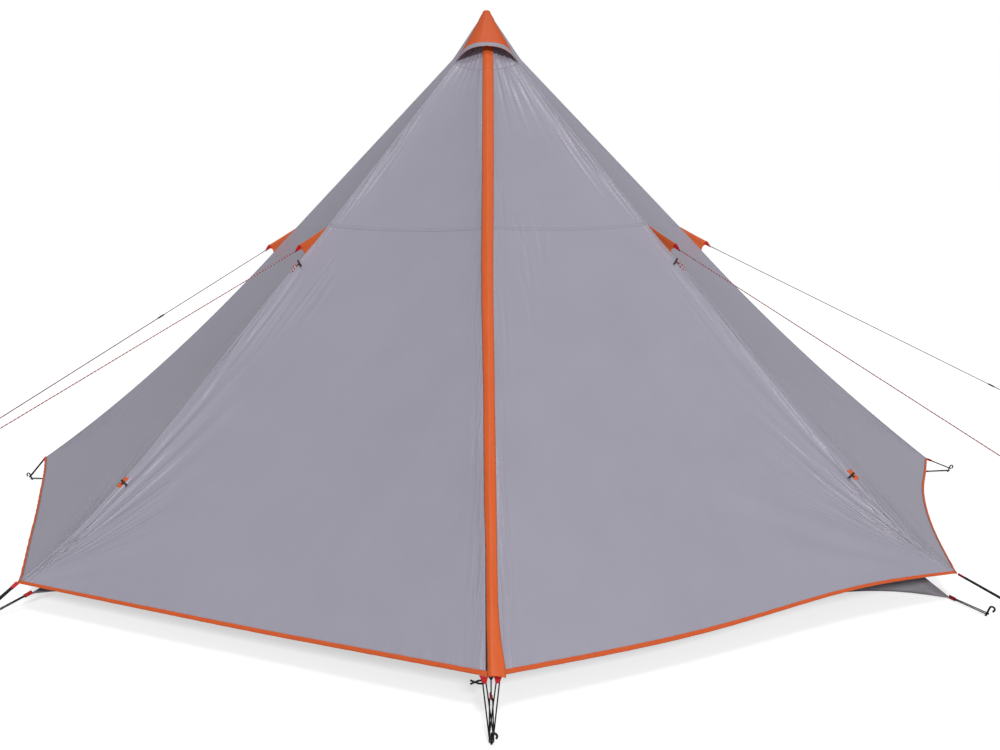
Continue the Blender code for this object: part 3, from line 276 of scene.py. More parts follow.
# Folds, with depths and widths in mm.
# A fan's: panel, lower corner, spread, bow, then each fold's angle above the hem, ends, depth and width.
FANS = (
    ("door_left", -1, 1.3, 0.012, (
        (71.5, 0.10, 0.98, 2.4, 13), (69, 0.34, 1.05, -2.0, 12), (66.5, 0.28, 1.12, 2.8, 14),
        (63.5, 0.32, 1.00, -2.4, 15), (60.5, 0.25, 0.98, 2.6, 16), (57, 0.30, 0.86, -2.0, 17),
        (52, 0.10, 0.80, 2.0, 22), (45, 0.12, 0.66, -1.6, 24), (32, 0.05, 0.50, 1.5, 24), (20, 0.04, 0.42, -1.3, 20),
    )),
    ("door_left", -1, 1.4, 0.0, ((5, 0.02, 0.40, -1.6, 13),)),
    ("door_right", 1, 1.5, -0.012, (
        (72, 0.05, 1.60, 4.2, 26), (69, 0.12, 1.25, -3.0, 20), (66, 0.25, 1.10, 2.0, 16), (60, 0.20, 0.95, -1.8, 18),
        (33, 0.08, 0.95, 2.6, 38), (27, 0.08, 0.90, -2.4, 34), (19, 0.06, 0.66, 2.0, 28), (46, 0.12, 0.80, 1.4, 30),
    )),
    ("side_left", 1, 1.0, 0.01, ((62, 0.10, 1.60, -2.0, 12),)),
    ("side_left", 1, 1.4, 0.01, ((55, 0.12, 0.90, 1.8, 20), (40, 0.10, 0.70, -1.8, 26))),
    ("side_left", -1, 1.4, 0.01, ((55, 0.10, 0.90, 1.8, 26),)),
    ("side_right", -1, 1.4, 0.012, (
        (71, 0.06, 1.30, 3.0, 20), (67.5, 0.10, 1.50, -2.6, 17), (64, 0.12, 1.45, 2.6, 17), (60, 0.15, 1.35, -2.4, 18),
        (56, 0.15, 1.20, 2.2, 20), (50, 0.12, 1.05, -2.0, 22), (43, 0.12, 0.85, 1.8, 24), (30, 0.08, 0.6, -1.5, 24),
    )),
    ("side_right", 1, 1.4, 0.01, ((58, 0.10, 1.00, 2.0, 24), (48, 0.10, 0.80, -1.8, 26))),
)
# Beside a ridge: panel, side, bow, then each fold's two radii, its ends' distances in from the ridge, depth and width.
RIDGE_FOLDS = (
    ("door_left", -1, 0.006, (
        (1.06, 1.42, 0.020, 0.034, 1.7, 9), (1.08, 1.50, 0.042, 0.060, -1.6, 9), (1.10, 1.44, 0.066, 0.078, 1.5, 10),
        (1.12, 1.40, 0.092, 0.118, -1.4, 11), (1.07, 1.36, 0.150, 0.160, 1.6, 10), (1.06, 1.31, 0.185, 0.200, -1.3, 10),
        (1.10, 1.32, 0.215, 0.235, 1.2, 10), (0.99, 1.14, 0.120, 0.150, -1.0, 9), (1.45, 1.78, 0.040, 0.030, 1.3, 12),
    )),
    ("door_right", 1, -0.006, (
        (0.34, 0.58, 0.012, 0.016, 2.0, 8), (0.42, 0.74, 0.030, 0.050, 2.2, 9), (0.50, 0.82, 0.070, 0.100, -1.6, 10),
        (0.60, 0.90, 0.020, 0.030, 1.8, 9), (1.02, 1.30, 0.018, 0.026, 2.0, 9), (1.04, 1.34, 0.050, 0.058, -1.5, 10),
        (1.30, 1.72, 0.014, 0.020, 2.6, 11), (1.10, 1.46, 0.090, 0.110, 1.2, 12),
    )),
    ("side_left", 1, 0.004, (
        (1.08, 1.60, 0.020, 0.016, 1.6, 9), (1.10, 1.50, 0.045, 0.055, -1.4, 10), (1.40, 1.90, 0.030, 0.022, 1.4, 11),
    )),
    ("side_right", -1, 0.005, (
        (1.0, 1.4, 0.03, 0.05, 1.6, 11), (1.02, 1.5, 0.07, 0.10, -1.4, 11), (0.5, 0.9, 0.02, 0.03, 1.3, 11),
    )),
)
# Elsewhere: start and end as (u, v), depth, width, spread, bow.
OPEN_FOLDS = {
    "door_left": (
        ((0.25, 0.10), (0.55, 1.25), 1.4, 90, 1.3, 0.02), ((-0.15, 0.15), (0.10, 1.10), -1.6, 100, 1.2, -0.03),
    ),
    "door_right": (
        ((-0.245, 1.62), (-0.295, 1.22), 1.5, 11, 1.2, 0.02), ((-0.205, 1.60), (-0.255, 1.30), -1.2, 11, 1.2, -0.02),
        ((-0.160, 1.64), (-0.210, 1.34), 1.1, 11, 1.2, 0.018), ((-0.120, 1.60), (-0.170, 1.42), -0.9, 11, 1.2, 0.012),
        ((-0.300, 1.40), (-0.350, 1.05), 0.9, 11, 1.2, 0.016),
        ((-0.45, 0.12), (-0.30, 1.10), 1.8, 90, 1.3, 0.02), ((0.05, 0.10), (0.10, 1.20), -1.6, 110, 1.2, -0.03),
    ),
}


def creases_of(panel):
    """(start, end, depth, width, spread, bow) of each fold that the cloth shows, and of random small ones."""
    found = []
    for place, corner, spread, bow, folds in FANS:
        for angle, low, high, depth, width in folds if place == panel else ():
            found.append((*polar(corner, angle, low, high), depth / 1000, width / 1000, spread, bow))
    for place, side, bow, folds in RIDGE_FOLDS:
        for start, end, off, off_end, depth, width in folds if place == panel else ():
            found.append((*beside(side, start, end, off, off_end), depth / 1000, width / 1000, 1.0, bow))
    for start, end, depth, width, spread, bow in OPEN_FOLDS.get(panel, ()):
        found.append((start, end, depth / 1000, width / 1000, spread, bow))
    dice = np.random.default_rng(sum(map(ord, panel)))
    if panel.startswith("rear"):
        for corner in (-1, 1):
            for angle in (70, 64, 57, 48, 36, 22):
                reach = dice.uniform(0.6, 1.3)
                depth = dice.uniform(1.6, 2.8) / 1000 * (1 if angle % 3 else -1)
                line = polar(corner, angle + dice.uniform(-2, 2), 0.1, reach)
                found.append((*line, depth, dice.uniform(0.015, 0.026), 1.4, 0.01))
    for side in (-1, 1):
        for _ in range(6):
            radius = dice.uniform(0.3, 1.75)
            off = dice.uniform(0.010, 0.06)
            line = beside(side, radius, radius + dice.uniform(0.12, 0.3), off, off + dice.uniform(-0.004, 0.012))
            depth = dice.choice((-1, 1)) * dice.uniform(0.5, 1.0) / 1000
            found.append((*line, depth, dice.uniform(0.007, 0.010), 1.0, 0.002))
    return found


def gathers(panel, u, radius):
    """The cloth drawn together under the hood, as narrow folds that die out down the panel."""
    sides = {"door_left": (0.32, 0.15, 1), "door_right": (1.0, 0.27, -1)}
    strong, reach, zip_side = sides.get(panel, (0.30, 0.28, 0))
    share = u / (WIDE * radius / 2)
    fall = bell(radius - GATHER_RADIUS, reach)
    wave = np.sin(share * 21 + 0.6 * np.sin(share * 5.0)) + 0.5 * np.sin(share * 37 + 1.1)
    beside_zip = 1 if zip_side == 0 else 0.35 + 0.65 * np.clip((1 + zip_side * share) / 2, 0, 1) ** 0.7
    return GATHER_DEPTH * strong * wave * fall * beside_zip


def level_radius(panel, across):
    """The level seam's radius. It meets the ridges at the fins' upper ends and the others lower down."""
    ends = [LEVEL_AT_FIN if ridge in GUYED else GUY_RADIUS for ridge in PANELS[panel]]
    return ends[0] + (ends[1] - ends[0]) * across


def rows_along_seam(panel, across, radius):
    """The rows' radii, drawn to the level seam where they pass it."""
    near = bell(radius - GUY_RADIUS, ROWS_DRAWN_WITHIN)
    return radius + (level_radius(panel, across) - GUY_RADIUS) * near


def wrinkles(panel, across, radius):
    """How far the gathers, folds, swells, the level seam and the hem's puckers stand out from the cloth."""
    u, v = local(across, radius)
    total = gathers(panel, u, radius)
    for start, end, depth, width, spread, bow in creases_of(panel):
        total = total + crease(u, v, start, end, depth * CREASE_DEPTH, width * CREASE_WIDTH, spread, bow)
    seed = sum(map(ord, panel)) % 7
    swell = np.sin(3.1 * u + 2.3 * v + seed) * np.sin(1.7 * u - 3.7 * v + 2 * seed)
    swell = swell + 0.5 * np.sin(6.3 * u + 4.1 * v + 2 + seed) * np.sin(5.2 * v - 3.3 * u + seed)
    groove = bell(radius - level_radius(panel, across) - GROOVE_BELOW, GROOVE_WIDTH)
    pucker = bell(v, HEM_PUCKER_HIGH) * np.sin(70 * u + 3 * np.sin(11 * u))
    return total + SWELL_DEPTH * swell - GROOVE_DEPTH * groove + HEM_PUCKER_DEPTH * pucker


def hung(panel, across, radius, insets=(SEAM_INSET, SEAM_INSET)):
    """Points of the hung panel: on the chord between its ridges, raised at the hem, sagged inwards and creased."""
    first, second = PANELS[panel]
    across, radius = np.broadcast_arrays(np.asarray(across, float), np.asarray(radius, float))
    waves = HEM_CUTS.get(panel, (SIDE_HEM_CUT,))
    cut = sum(part * np.sin((order + 1) * np.pi * across) for order, part in enumerate(waves))
    bow = 4 * across * (1 - across)
    share = np.clip((radius - GUY_RADIUS) / (CORNER_RADIUS - GUY_RADIUS), 0, None)
    radius = radius - cut * share
    start = ridge_point(first, radius)
    chord = ridge_point(second, radius) - start
    length = np.linalg.norm(chord, axis=-1, keepdims=True)
    own = length - insets[0] - insets[1]
    place = (insets[0] + own * across[..., None]) / length
    edge = (np.minimum(across, 1 - across)[..., None] * own)[..., 0]
    belly = np.sin(np.pi * np.clip((radius - TIP_RADIUS) / (CORNER_RADIUS - TIP_RADIUS), 0, 1))
    held = np.clip((radius - HELD_RADIUS) / HELD_RADIUS, 0, 1) * (1 - bell(edge, EDGE_HELD_WITHIN))
    depth = PANEL_SAG * belly * bow - wrinkles(panel, place[..., 0], radius) * held
    return start + chord * place - panel_normal(first, second) * depth[..., None]


# Meshes

def travel(points):
    """Distances travelled along a line of points."""
    return np.concatenate([[0], np.cumsum(np.linalg.norm(np.diff(points, axis=0), axis=1))])


def units(vectors, least=0.0):
    """Rows of vectors, each 1 long. Rows shorter than the least keep their share of it."""
    return vectors / np.maximum(np.linalg.norm(vectors, axis=-1, keepdims=True), least)


def evaluated_mesh(obj):
    """A plain mesh of the object as its modifiers leave it."""
    graph = bpy.context.evaluated_depsgraph_get()
    return bpy.data.meshes.new_from_object(obj.evaluated_get(graph))


def applied(obj):
    made = evaluated_mesh(obj)
    obj.modifiers.clear()
    obj.data = made
    made.name = obj.name
    return obj


def mesh_of(name, bm, material):
    """A smooth mesh of one material, from a bmesh that ends here."""
    mesh = bpy.data.meshes.new(name)
    bm.to_mesh(mesh)
    bm.free()
    mesh.materials.append(material)
    mesh.shade_smooth()
    return mesh


def new_object(name, verts, faces, material, uvs=None):
    mesh = bpy.data.meshes.new(name)
    mesh.from_pydata([tuple(map(float, v)) for v in verts], [], faces)
    if uvs is not None:
        layer = mesh.uv_layers.new(name="metres")
        index = np.empty(len(mesh.loops), np.int32)
        mesh.loops.foreach_get("vertex_index", index)
        layer.data.foreach_set("uv", np.asarray(uvs, np.float32)[index].ravel())
    mesh.validate()
    mesh.materials.append(material)
    mesh.shade_smooth()
    return linked(name, mesh)


def grid_faces(rows, columns, offset=0, flip=False, wrap=False):
    """Quads of a grid of points, in order. Wrapped ones join the last column to the first."""
    across = columns if wrap else columns - 1
    r, c = np.meshgrid(np.arange(rows - 1), np.arange(across), indexing="ij")
    a = r * columns + c + offset
    b = r * columns + (c + 1) % columns + offset
    quads = np.stack([a, b, b + columns, a + columns], -1).reshape(-1, 4)
    return quads[:, ::-1] if flip else quads


def point_normals(points):
    down = np.gradient(points, axis=0)
    side = np.gradient(points, axis=1)
    return units(np.cross(side, -down), 1e-12)


def shell(name, points, thickness, material, uv=None, marks=None):
    """Cloth from a grid of points, rows from the top down and columns to the right seen from outside."""
    rows, columns = points.shape[:2]
    normals = point_normals(points)
    inner = points - normals * thickness
    count = rows * columns
    verts = np.concatenate([points.reshape(-1, 3), inner.reshape(-1, 3)])
    outer_faces = grid_faces(rows, columns, flip=True)
    inner_faces = grid_faces(rows, columns, offset=count)
    places = np.arange(count).reshape(rows, columns)
    loop = np.concatenate([places[0], places[1:, -1], places[-1, -2::-1], places[-2:0:-1, 0]])
    following = np.roll(loop, -1)
    rim = np.stack([loop, following, following + count, loop + count], -1)
    faces = np.concatenate([outer_faces, inner_faces, rim]).tolist()
    uvs = None if uv is None else np.concatenate([uv.reshape(-1, 2)] * 2)
    obj = new_object(name, verts, faces, material, uvs)
    for key, given in (marks or {}).items():
        flat = given.reshape(count, -1)
        values = np.concatenate([flat] * 2).astype(np.float32).ravel()
        kind, field = ("FLOAT", "value") if flat.shape[1] == 1 else ("FLOAT_VECTOR", "vector")
        obj.data.attributes.new(key, kind, "POINT").data.foreach_set(field, values)
    return obj


def tube(name, points, radius, material, sides=10, radii=None):
    """A round cord or rod along the points, closed at both ends, with UVs in metres."""
    points = np.asarray(points, float)
    count = len(points)
    along = units(np.gradient(points, axis=0))
    side = unit(np.cross(along[0], UP if abs(along[0][2]) < 0.9 else np.array((1.0, 0, 0))))
    verts, uvs = [], []
    travelled = travel(points)
    for index in range(count):
        side = unit(side - along[index] * side.dot(along[index]))
        over = np.cross(along[index], side)
        reach = radius if radii is None else radii[index]
        for step in range(sides):
            angle = 2 * math.pi * step / sides
            verts.append(points[index] + (side * math.cos(angle) + over * math.sin(angle)) * reach)
            uvs.append((2 * math.pi * reach * step / sides, travelled[index]))
    faces = grid_faces(count, sides, wrap=True).tolist()
    faces.append(list(range(sides))[::-1])
    faces.append([(count - 1) * sides + step for step in range(sides)])
    obj = new_object(name, verts, faces, material, uvs)
    fix_normals(obj)
    return obj


def fix_normals(obj):
    bm = bmesh.new()
    bm.from_mesh(obj.data)
    bmesh.ops.recalc_face_normals(bm, faces=bm.faces)
    bm.to_mesh(obj.data)
    bm.free()


def ribbon(name, points, sides, lifts, width, thickness, material, columns=4):
    """A flat strip along points, from its centre line, its side and its outward ways."""
    points, sides, lifts = (np.asarray(x, float) for x in (points, sides, lifts))
    share = np.linspace(-0.5, 0.5, columns + 1)
    width = np.broadcast_to(np.asarray(width, float), (len(points),))
    grid = points[:, None, :] + sides[:, None, :] * (share[None, :, None] * width[:, None, None])
    grid = grid + lifts[:, None, :] * (thickness * (0.5 - 2.0 * share[None, :, None] ** 2 * 0.3))
    uv = np.stack(np.broadcast_arrays(share * width.max(), travel(points)[:, None]), -1)
    obj = shell(name, grid, thickness, material, uv)
    fix_normals(obj)
    return obj


def done(obj, body, slot, *nodes):
    """A finished piece on its body, hiding the nodes that it replaces. The slot is not used."""
    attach(obj, body)
    if nodes:
        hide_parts(*nodes)
    return obj


# Materials

WAVE_SCALE = 0.31


def shader_of(name, colour, roughness, metallic=0.0, sheen=0.0, specular=0.3):
    made = bpy.data.materials.new(name)
    made.use_nodes = True
    shader = made.node_tree.nodes["Principled BSDF"]
    shader.inputs["Base Color"].default_value = (*colour, 1)
    shader.inputs["Roughness"].default_value = roughness
    shader.inputs["Metallic"].default_value = metallic
    shader.inputs["Sheen Weight"].default_value = sheen
    shader.inputs["Sheen Roughness"].default_value = 0.4
    shader.inputs["Specular IOR Level"].default_value = specular
    made.diffuse_color = (*colour, 1)
    return made, made.node_tree, shader


def node(tree, kind, **settings):
    made = tree.nodes.new("ShaderNode" + kind)
    for key, value in settings.items():
        if key in made.inputs:
            made.inputs[key].default_value = value
        else:
            setattr(made, key, value)
    return made


def coordinates(tree, uv, scale=(1, 1, 1)):
    place = node(tree, "UVMap", uv_map="metres") if uv else node(tree, "TexCoord")
    mapping = node(tree, "Mapping", Scale=scale)
    tree.links.new(place.outputs["UV" if uv else "Object"], mapping.inputs["Vector"])
    return mapping.outputs["Vector"]


def texture(tree, place, kind, **settings):
    made = node(tree, "Tex" + kind, **settings)
    tree.links.new(place, made.inputs["Vector"])
    return made


def bands(tree, place, direction, pitch, distortion):
    """Straight waves at a pitch in metres."""
    settings = {"wave_type": "BANDS", "bands_direction": direction, "Scale": WAVE_SCALE / pitch}
    return texture(tree, place, "Wave", Distortion=distortion, **settings).outputs["Fac"]


def bump(tree, height, distance, strength=1.0, below=None):
    made = node(tree, "Bump", Distance=distance, Strength=strength)
    tree.links.new(height, made.inputs["Height"])
    if below is not None:
        tree.links.new(below, made.inputs["Normal"])
    return made.outputs["Normal"]


def math_of(tree, operation, first, second):
    made = node(tree, "Math", operation=operation)
    for index, value in enumerate((first, second)):
        if isinstance(value, (int, float)):
            made.inputs[index].default_value = value
        else:
            tree.links.new(value, made.inputs[index])
    return made.outputs[0]


def vary(tree, shader, colour, factor, low, high):
    """The base colour between two shares of itself, by a factor."""
    mix = node(tree, "Mix", data_type="RGBA")
    mix.inputs[6].default_value = (*[min(1, c * low) for c in colour], 1)
    mix.inputs[7].default_value = (*[min(1, c * high) for c in colour], 1)
    tree.links.new(factor, mix.inputs[0])
    tree.links.new(mix.outputs[2], shader.inputs["Base Color"])


def uneven_gloss(tree, shader, factor, low, high):
    rough = node(tree, "MapRange")
    rough.inputs["To Min"].default_value = low
    rough.inputs["To Max"].default_value = high
    tree.links.new(factor, rough.inputs["Value"])
    tree.links.new(rough.outputs[0], shader.inputs["Roughness"])


def sharp_folds(tree, key, scale, depth, below):
    """Long narrow folds along a marked direction of the cloth, as fine crests."""
    place = node(tree, "Attribute", attribute_name=key)
    share = node(tree, "Attribute", attribute_name=key + "_share")
    mapping = node(tree, "Mapping", Scale=scale)
    tree.links.new(place.outputs["Vector"], mapping.inputs["Vector"])
    noise = texture(tree, mapping.outputs["Vector"], "Noise", Scale=1.0, Detail=1.0, Roughness=0.4, Distortion=0.1)
    level = noise.outputs["Fac"]
    off = math_of(tree, "ABSOLUTE", math_of(tree, "SUBTRACT", level, 0.5), 0)
    crest = math_of(tree, "MAXIMUM", math_of(tree, "SUBTRACT", 1, math_of(tree, "DIVIDE", off, 0.13)), 0)
    height = math_of(tree, "ADD", math_of(tree, "POWER", crest, 1.4), math_of(tree, "MULTIPLY", level, 1.2))
    return bump(tree, math_of(tree, "MULTIPLY", height, share.outputs["Fac"]), depth, 1.0, below)


def coated_cloth(name, colour, roughness=0.5, sheen=0.04, weave=0.0011, seams=True, specular=0.4):
    """Woven coated cloth: crossed fine threads, faint blotches and creases, and folds and puckers at its seams."""
    made, tree, shader = shader_of(name, colour, roughness, sheen=sheen, specular=specular)
    place = coordinates(tree, False)
    warp, weft = (bands(tree, place, direction, weave, 0.3) for direction in "XZ")
    normal = bump(tree, math_of(tree, "ADD", warp, weft), 0.00005, 0.35)
    blotch = texture(tree, place, "Noise", Scale=5.0, Detail=4.0, Roughness=0.6).outputs["Fac"]
    grain = texture(tree, place, "Noise", Scale=420.0, Detail=2.0).outputs["Fac"]
    both = math_of(tree, "ADD", math_of(tree, "MULTIPLY", blotch, 0.7), math_of(tree, "MULTIPLY", grain, 0.3))
    vary(tree, shader, colour, both, 0.93, 1.07)
    soft = texture(tree, place, "Noise", Scale=16.0, Detail=3.0, Roughness=0.55, Distortion=0.6)
    normal = bump(tree, soft.outputs["Fac"], 0.0015, 0.5, normal)
    if seams:
        closeness = node(tree, "Attribute", attribute_name="seam")
        pucker = texture(tree, place, "Noise", Scale=58.0, Detail=2.0, Distortion=0.4)
        height = math_of(tree, "MULTIPLY", pucker.outputs["Fac"], closeness.outputs["Fac"])
        normal = bump(tree, height, 0.0032, 0.8, normal)
        normal = sharp_folds(tree, "fan", (20, 2.4, 3), 0.0062, normal)
        normal = sharp_folds(tree, "edge", (46, 3.4, 3), 0.0040, normal)
    tree.links.new(normal, shader.inputs["Normal"])
    uneven_gloss(tree, shader, blotch, roughness - 0.06, roughness + 0.08)
    return made


def ribbed_tape(name, colour, rib=0.0012, depth=0.00018, roughness=0.6):
    """Woven tape or webbing: ribs across its length, with a finer grain, slightly worn colour and painted shade in the
    grooves between the ribs.
    """
    made, tree, shader = shader_of(name, colour, roughness, sheen=0.05)
    place = coordinates(tree, True)
    ribs = bands(tree, place, "Y", rib, 0.6)
    grain = texture(tree, place, "Noise", Scale=900.0, Detail=3.0).outputs["Fac"]
    patch = texture(tree, place, "Noise", Scale=24.0, Detail=3.0).outputs["Fac"]
    height = math_of(tree, "ADD", ribs, math_of(tree, "MULTIPLY", grain, 0.6))
    tree.links.new(bump(tree, height, depth, 0.7), shader.inputs["Normal"])
    # The colour is patchy at random and darker in the ribs' grooves, the grooves' darkening being painted shade.
    shade = math_of(tree, "ADD", math_of(tree, "MULTIPLY", patch, 0.6), math_of(tree, "MULTIPLY", ribs, 0.4))
    vary(tree, shader, colour, shade, 0.86, 1.12)
    return made


def braid(name, colour, fleck=None, period=0.0135, share=0.42, rib=0.0016):
    """Braided cord: slanted strands, and pale flecks at a regular spacing where it has them, or else painted shade
    between the strands.
    """
    made, tree, shader = shader_of(name, colour, 0.65, sheen=0.05)
    place = coordinates(tree, True)
    strands = bands(tree, place, "DIAGONAL", rib, 0.2)
    tree.links.new(bump(tree, strands, 0.0003, 0.8), shader.inputs["Normal"])
    if fleck is None:
        # Without flecks the colour darkens between the strands, as painted shade.
        vary(tree, shader, colour, strands, 0.75, 1.25)
        return made
    split = node(tree, "SeparateXYZ")
    tree.links.new(place, split.inputs[0])
    slant = math_of(tree, "ADD", split.outputs["Y"], math_of(tree, "MULTIPLY", split.outputs["X"], 0.5))
    step = math_of(tree, "FRACT", math_of(tree, "DIVIDE", slant, period), 0)
    pale = math_of(tree, "LESS_THAN", step, share)
    mix = node(tree, "Mix", data_type="RGBA")
    mix.inputs[6].default_value = (*colour, 1)
    mix.inputs[7].default_value = (*fleck, 1)
    tree.links.new(pale, mix.inputs[0])
    tree.links.new(mix.outputs[2], shader.inputs["Base Color"])
    return made


def moulded(name, colour, roughness, metallic=0.0, grain=300.0, depth=0.00008, low=0.8, high=1.3):
    """Moulded plastic, rubber or coated metal: a fine grain with uneven gloss."""
    made, tree, shader = shader_of(name, colour, roughness, metallic)
    place = coordinates(tree, False)
    fine = texture(tree, place, "Noise", Scale=grain, Detail=4.0, Roughness=0.6).outputs["Fac"]
    wide = texture(tree, place, "Noise", Scale=grain / 14, Detail=3.0).outputs["Fac"]
    tree.links.new(bump(tree, fine, depth, 0.6), shader.inputs["Normal"])
    vary(tree, shader, colour, wide, low, high)
    uneven_gloss(tree, shader, wide, max(0.05, roughness - 0.1), min(1, roughness + 0.15))
    return made


def drawn_tube(name, colour):
    """Satin metal tube: long faint draw marks and a few scuffs."""
    made, tree, shader = shader_of(name, colour, 0.3, 1.0)
    marks = texture(tree, coordinates(tree, False, (900, 900, 6)), "Noise", Scale=1.0, Detail=3.0).outputs["Fac"]
    tree.links.new(bump(tree, marks, 0.00004, 0.5), shader.inputs["Normal"])
    vary(tree, shader, colour, marks, 0.85, 1.1)
    return made


def net(name, colour):
    """Fine insect mesh: a small square net, its holes painted dark as shade."""
    made, tree, shader = shader_of(name, colour, 0.8, sheen=0.1)
    settings = {"feature": "DISTANCE_TO_EDGE", "Scale": 640.0, "Randomness": 0.15}
    cells = texture(tree, coordinates(tree, False), "Voronoi", **settings)
    strand = math_of(tree, "LESS_THAN", cells.outputs["Distance"], 0.12)
    # The holes are painted darker than the strands, as shade.
    vary(tree, shader, colour, strand, 0.55, 1.25)
    tree.links.new(bump(tree, strand, 0.0002, 0.5), shader.inputs["Normal"])
    return made


GREY = (0.326, 0.308, 0.369)
ORANGE = (0.66, 0.108, 0.018)
grey_cloth = coated_cloth("grey_cloth_coated", GREY, roughness=0.36, specular=0.5)
orange_cloth = coated_cloth("orange_cloth_coated", ORANGE, roughness=0.55, seams=False)
hood_finish = coated_cloth("hood_cloth_coated", (0.583, 0.086, 0.012), roughness=0.55, seams=False)
flap_cloth = coated_cloth("flap_cloth_coated", ORANGE, roughness=0.5, seams=True)
grey_band = coated_cloth("band_cloth_coated", (0.30, 0.29, 0.335), seams=False)
pink_band = coated_cloth("band_edge_coated", (0.42, 0.23, 0.24), seams=False)
binding_tape = ribbed_tape("binding_tape_ribbed", (0.60, 0.092, 0.016))
red_webbing = ribbed_tape("red_webbing_ribbed", (0.52, 0.008, 0.012), rib=0.0018, depth=0.0003)
zip_cloth = ribbed_tape("zip_tape_ribbed", (0.022, 0.022, 0.024), rib=0.001)
coil = moulded("zip_coil_moulded", (0.02, 0.02, 0.022), 0.35)
elastic = braid("black_elastic_braid", (0.006, 0.006, 0.007), rib=0.0012)
guy_braid = braid("guy_cord_braid", (0.36, 0.010, 0.014), fleck=(0.52, 0.44, 0.44))
dark_braid = braid("guy_cord_dark_braid", (0.17, 0.008, 0.012), fleck=(0.26, 0.16, 0.17))
grey_braid = braid("guy_cord_grey_braid", (0.085, 0.07, 0.075), fleck=(0.26, 0.23, 0.24))
steel = moulded("coated_steel", (0.022, 0.022, 0.024), 0.38, 0.4)
plastic = moulded("moulded_plastic", (0.018, 0.018, 0.019), 0.34)
enamel = moulded("enamelled_metal", (0.03, 0.03, 0.032), 0.3, 0.6)
aluminium = drawn_tube("drawn_aluminium", (0.62, 0.62, 0.64))
foot_rubber = moulded("foot_rubber_moulded", (0.028, 0.028, 0.03), 0.75, grain=500.0)
# The floor cloth is its own grey set darker, as painted shade for its corners that show under the hem.
floor_cloth = coated_cloth("floor_cloth_shade_darkened", (0.235, 0.22, 0.245), roughness=0.45, seams=False)
mesh_cloth = net("inner_net", (0.33, 0.33, 0.35))
grey_thread = moulded("grey_thread", (0.24, 0.235, 0.27), 0.7, grain=800.0)
orange_thread = moulded("orange_thread", (0.85, 0.26, 0.09), 0.7, grain=800.0)


# Repeats

def repeat_tree():
    """Small rounded shapes at an even pitch along the mesh's edges, joined into one mesh."""
    tree = bpy.data.node_groups.new("repeats_along_lines", "GeometryNodeTree")
    sockets = {}
    for name, kind in (
        ("Geometry", "Geometry"), ("Pitch", "Float"), ("Half sizes", "Vector"), ("Across", "Vector"),
        ("Material", "Material"),
    ):
        socket = tree.interface.new_socket(name, in_out="INPUT", socket_type="NodeSocket" + kind)
        sockets[name] = socket.identifier
    tree.interface.new_socket("Geometry", in_out="OUTPUT", socket_type="NodeSocketGeometry")

    def add(kind):
        return tree.nodes.new(kind)

    given, result = add("NodeGroupInput"), add("NodeGroupOutput")
    curve, even = add("GeometryNodeMeshToCurve"), add("GeometryNodeResampleCurve")
    even.mode = "LENGTH"
    way = add("GeometryNodeInputTangent")
    first = add("FunctionNodeAlignRotationToVector")
    first.axis = "Z"
    second = add("FunctionNodeAlignRotationToVector")
    second.axis = "X"
    second.pivot_axis = "Z"
    ball = add("GeometryNodeMeshUVSphere")
    ball.inputs["Segments"].default_value = 6
    ball.inputs["Rings"].default_value = 4
    ball.inputs["Radius"].default_value = 1
    place, real = add("GeometryNodeInstanceOnPoints"), add("GeometryNodeRealizeInstances")
    coat = add("GeometryNodeSetMaterial")
    link = tree.links.new
    link(given.outputs["Geometry"], curve.inputs[0])
    link(curve.outputs[0], even.inputs["Curve"])
    link(given.outputs["Pitch"], even.inputs["Length"])
    link(way.outputs[0], first.inputs["Vector"])
    link(first.outputs[0], second.inputs["Rotation"])
    link(given.outputs["Across"], second.inputs["Vector"])
    link(even.outputs[0], place.inputs["Points"])
    link(ball.outputs["Mesh"], place.inputs["Instance"])
    link(second.outputs[0], place.inputs["Rotation"])
    link(given.outputs["Half sizes"], place.inputs["Scale"])
    link(place.outputs[0], real.inputs[0])
    link(real.outputs[0], coat.inputs["Geometry"])
    link(given.outputs["Material"], coat.inputs["Material"])
    link(coat.outputs[0], result.inputs[0])
    return tree, sockets


REPEATS, SOCKETS = repeat_tree()


def repeats(name, lines, pitch, halves, across, material, body, slot):
    """Shapes at a pitch along lines, as one piece. Halves are half sizes across, out and along the line."""
    mesh = bpy.data.meshes.new(name)
    verts, edges = [], []
    for line in lines:
        base = len(verts)
        verts += [tuple(map(float, p)) for p in line]
        edges += [(base + i, base + i + 1) for i in range(len(line) - 1)]
    mesh.from_pydata(verts, edges, [])
    carrier = linked(name + "_lines", mesh)
    modifier = carrier.modifiers.new("repeats", "NODES")
    modifier.node_group = REPEATS
    modifier[SOCKETS["Pitch"]] = float(pitch)
    modifier[SOCKETS["Half sizes"]] = tuple(map(float, halves))
    modifier[SOCKETS["Across"]] = tuple(map(float, across))
    modifier[SOCKETS["Material"]] = material
    made = evaluated_mesh(carrier)
    bpy.data.objects.remove(carrier, do_unlink=True)
    made.name = name
    made.shade_smooth()
    return done(linked(name, made), body, slot)


STITCH = (0.00032, 0.00032, 0.0016)


def stitches(name, lines, material, body, slot, pitch=0.005):
    return repeats(name, lines, pitch, STITCH, (0, 0, 1), material, body, slot)


# Guy lines, from the fins to the pegs and back up to the runners

LOOP_PLAY = 0.0004
RUNNER_HALF_LENGTH, RUNNER_HALF_WIDTH, RUNNER_HALF_HEIGHT = 0.0198, 0.0068, 0.0038


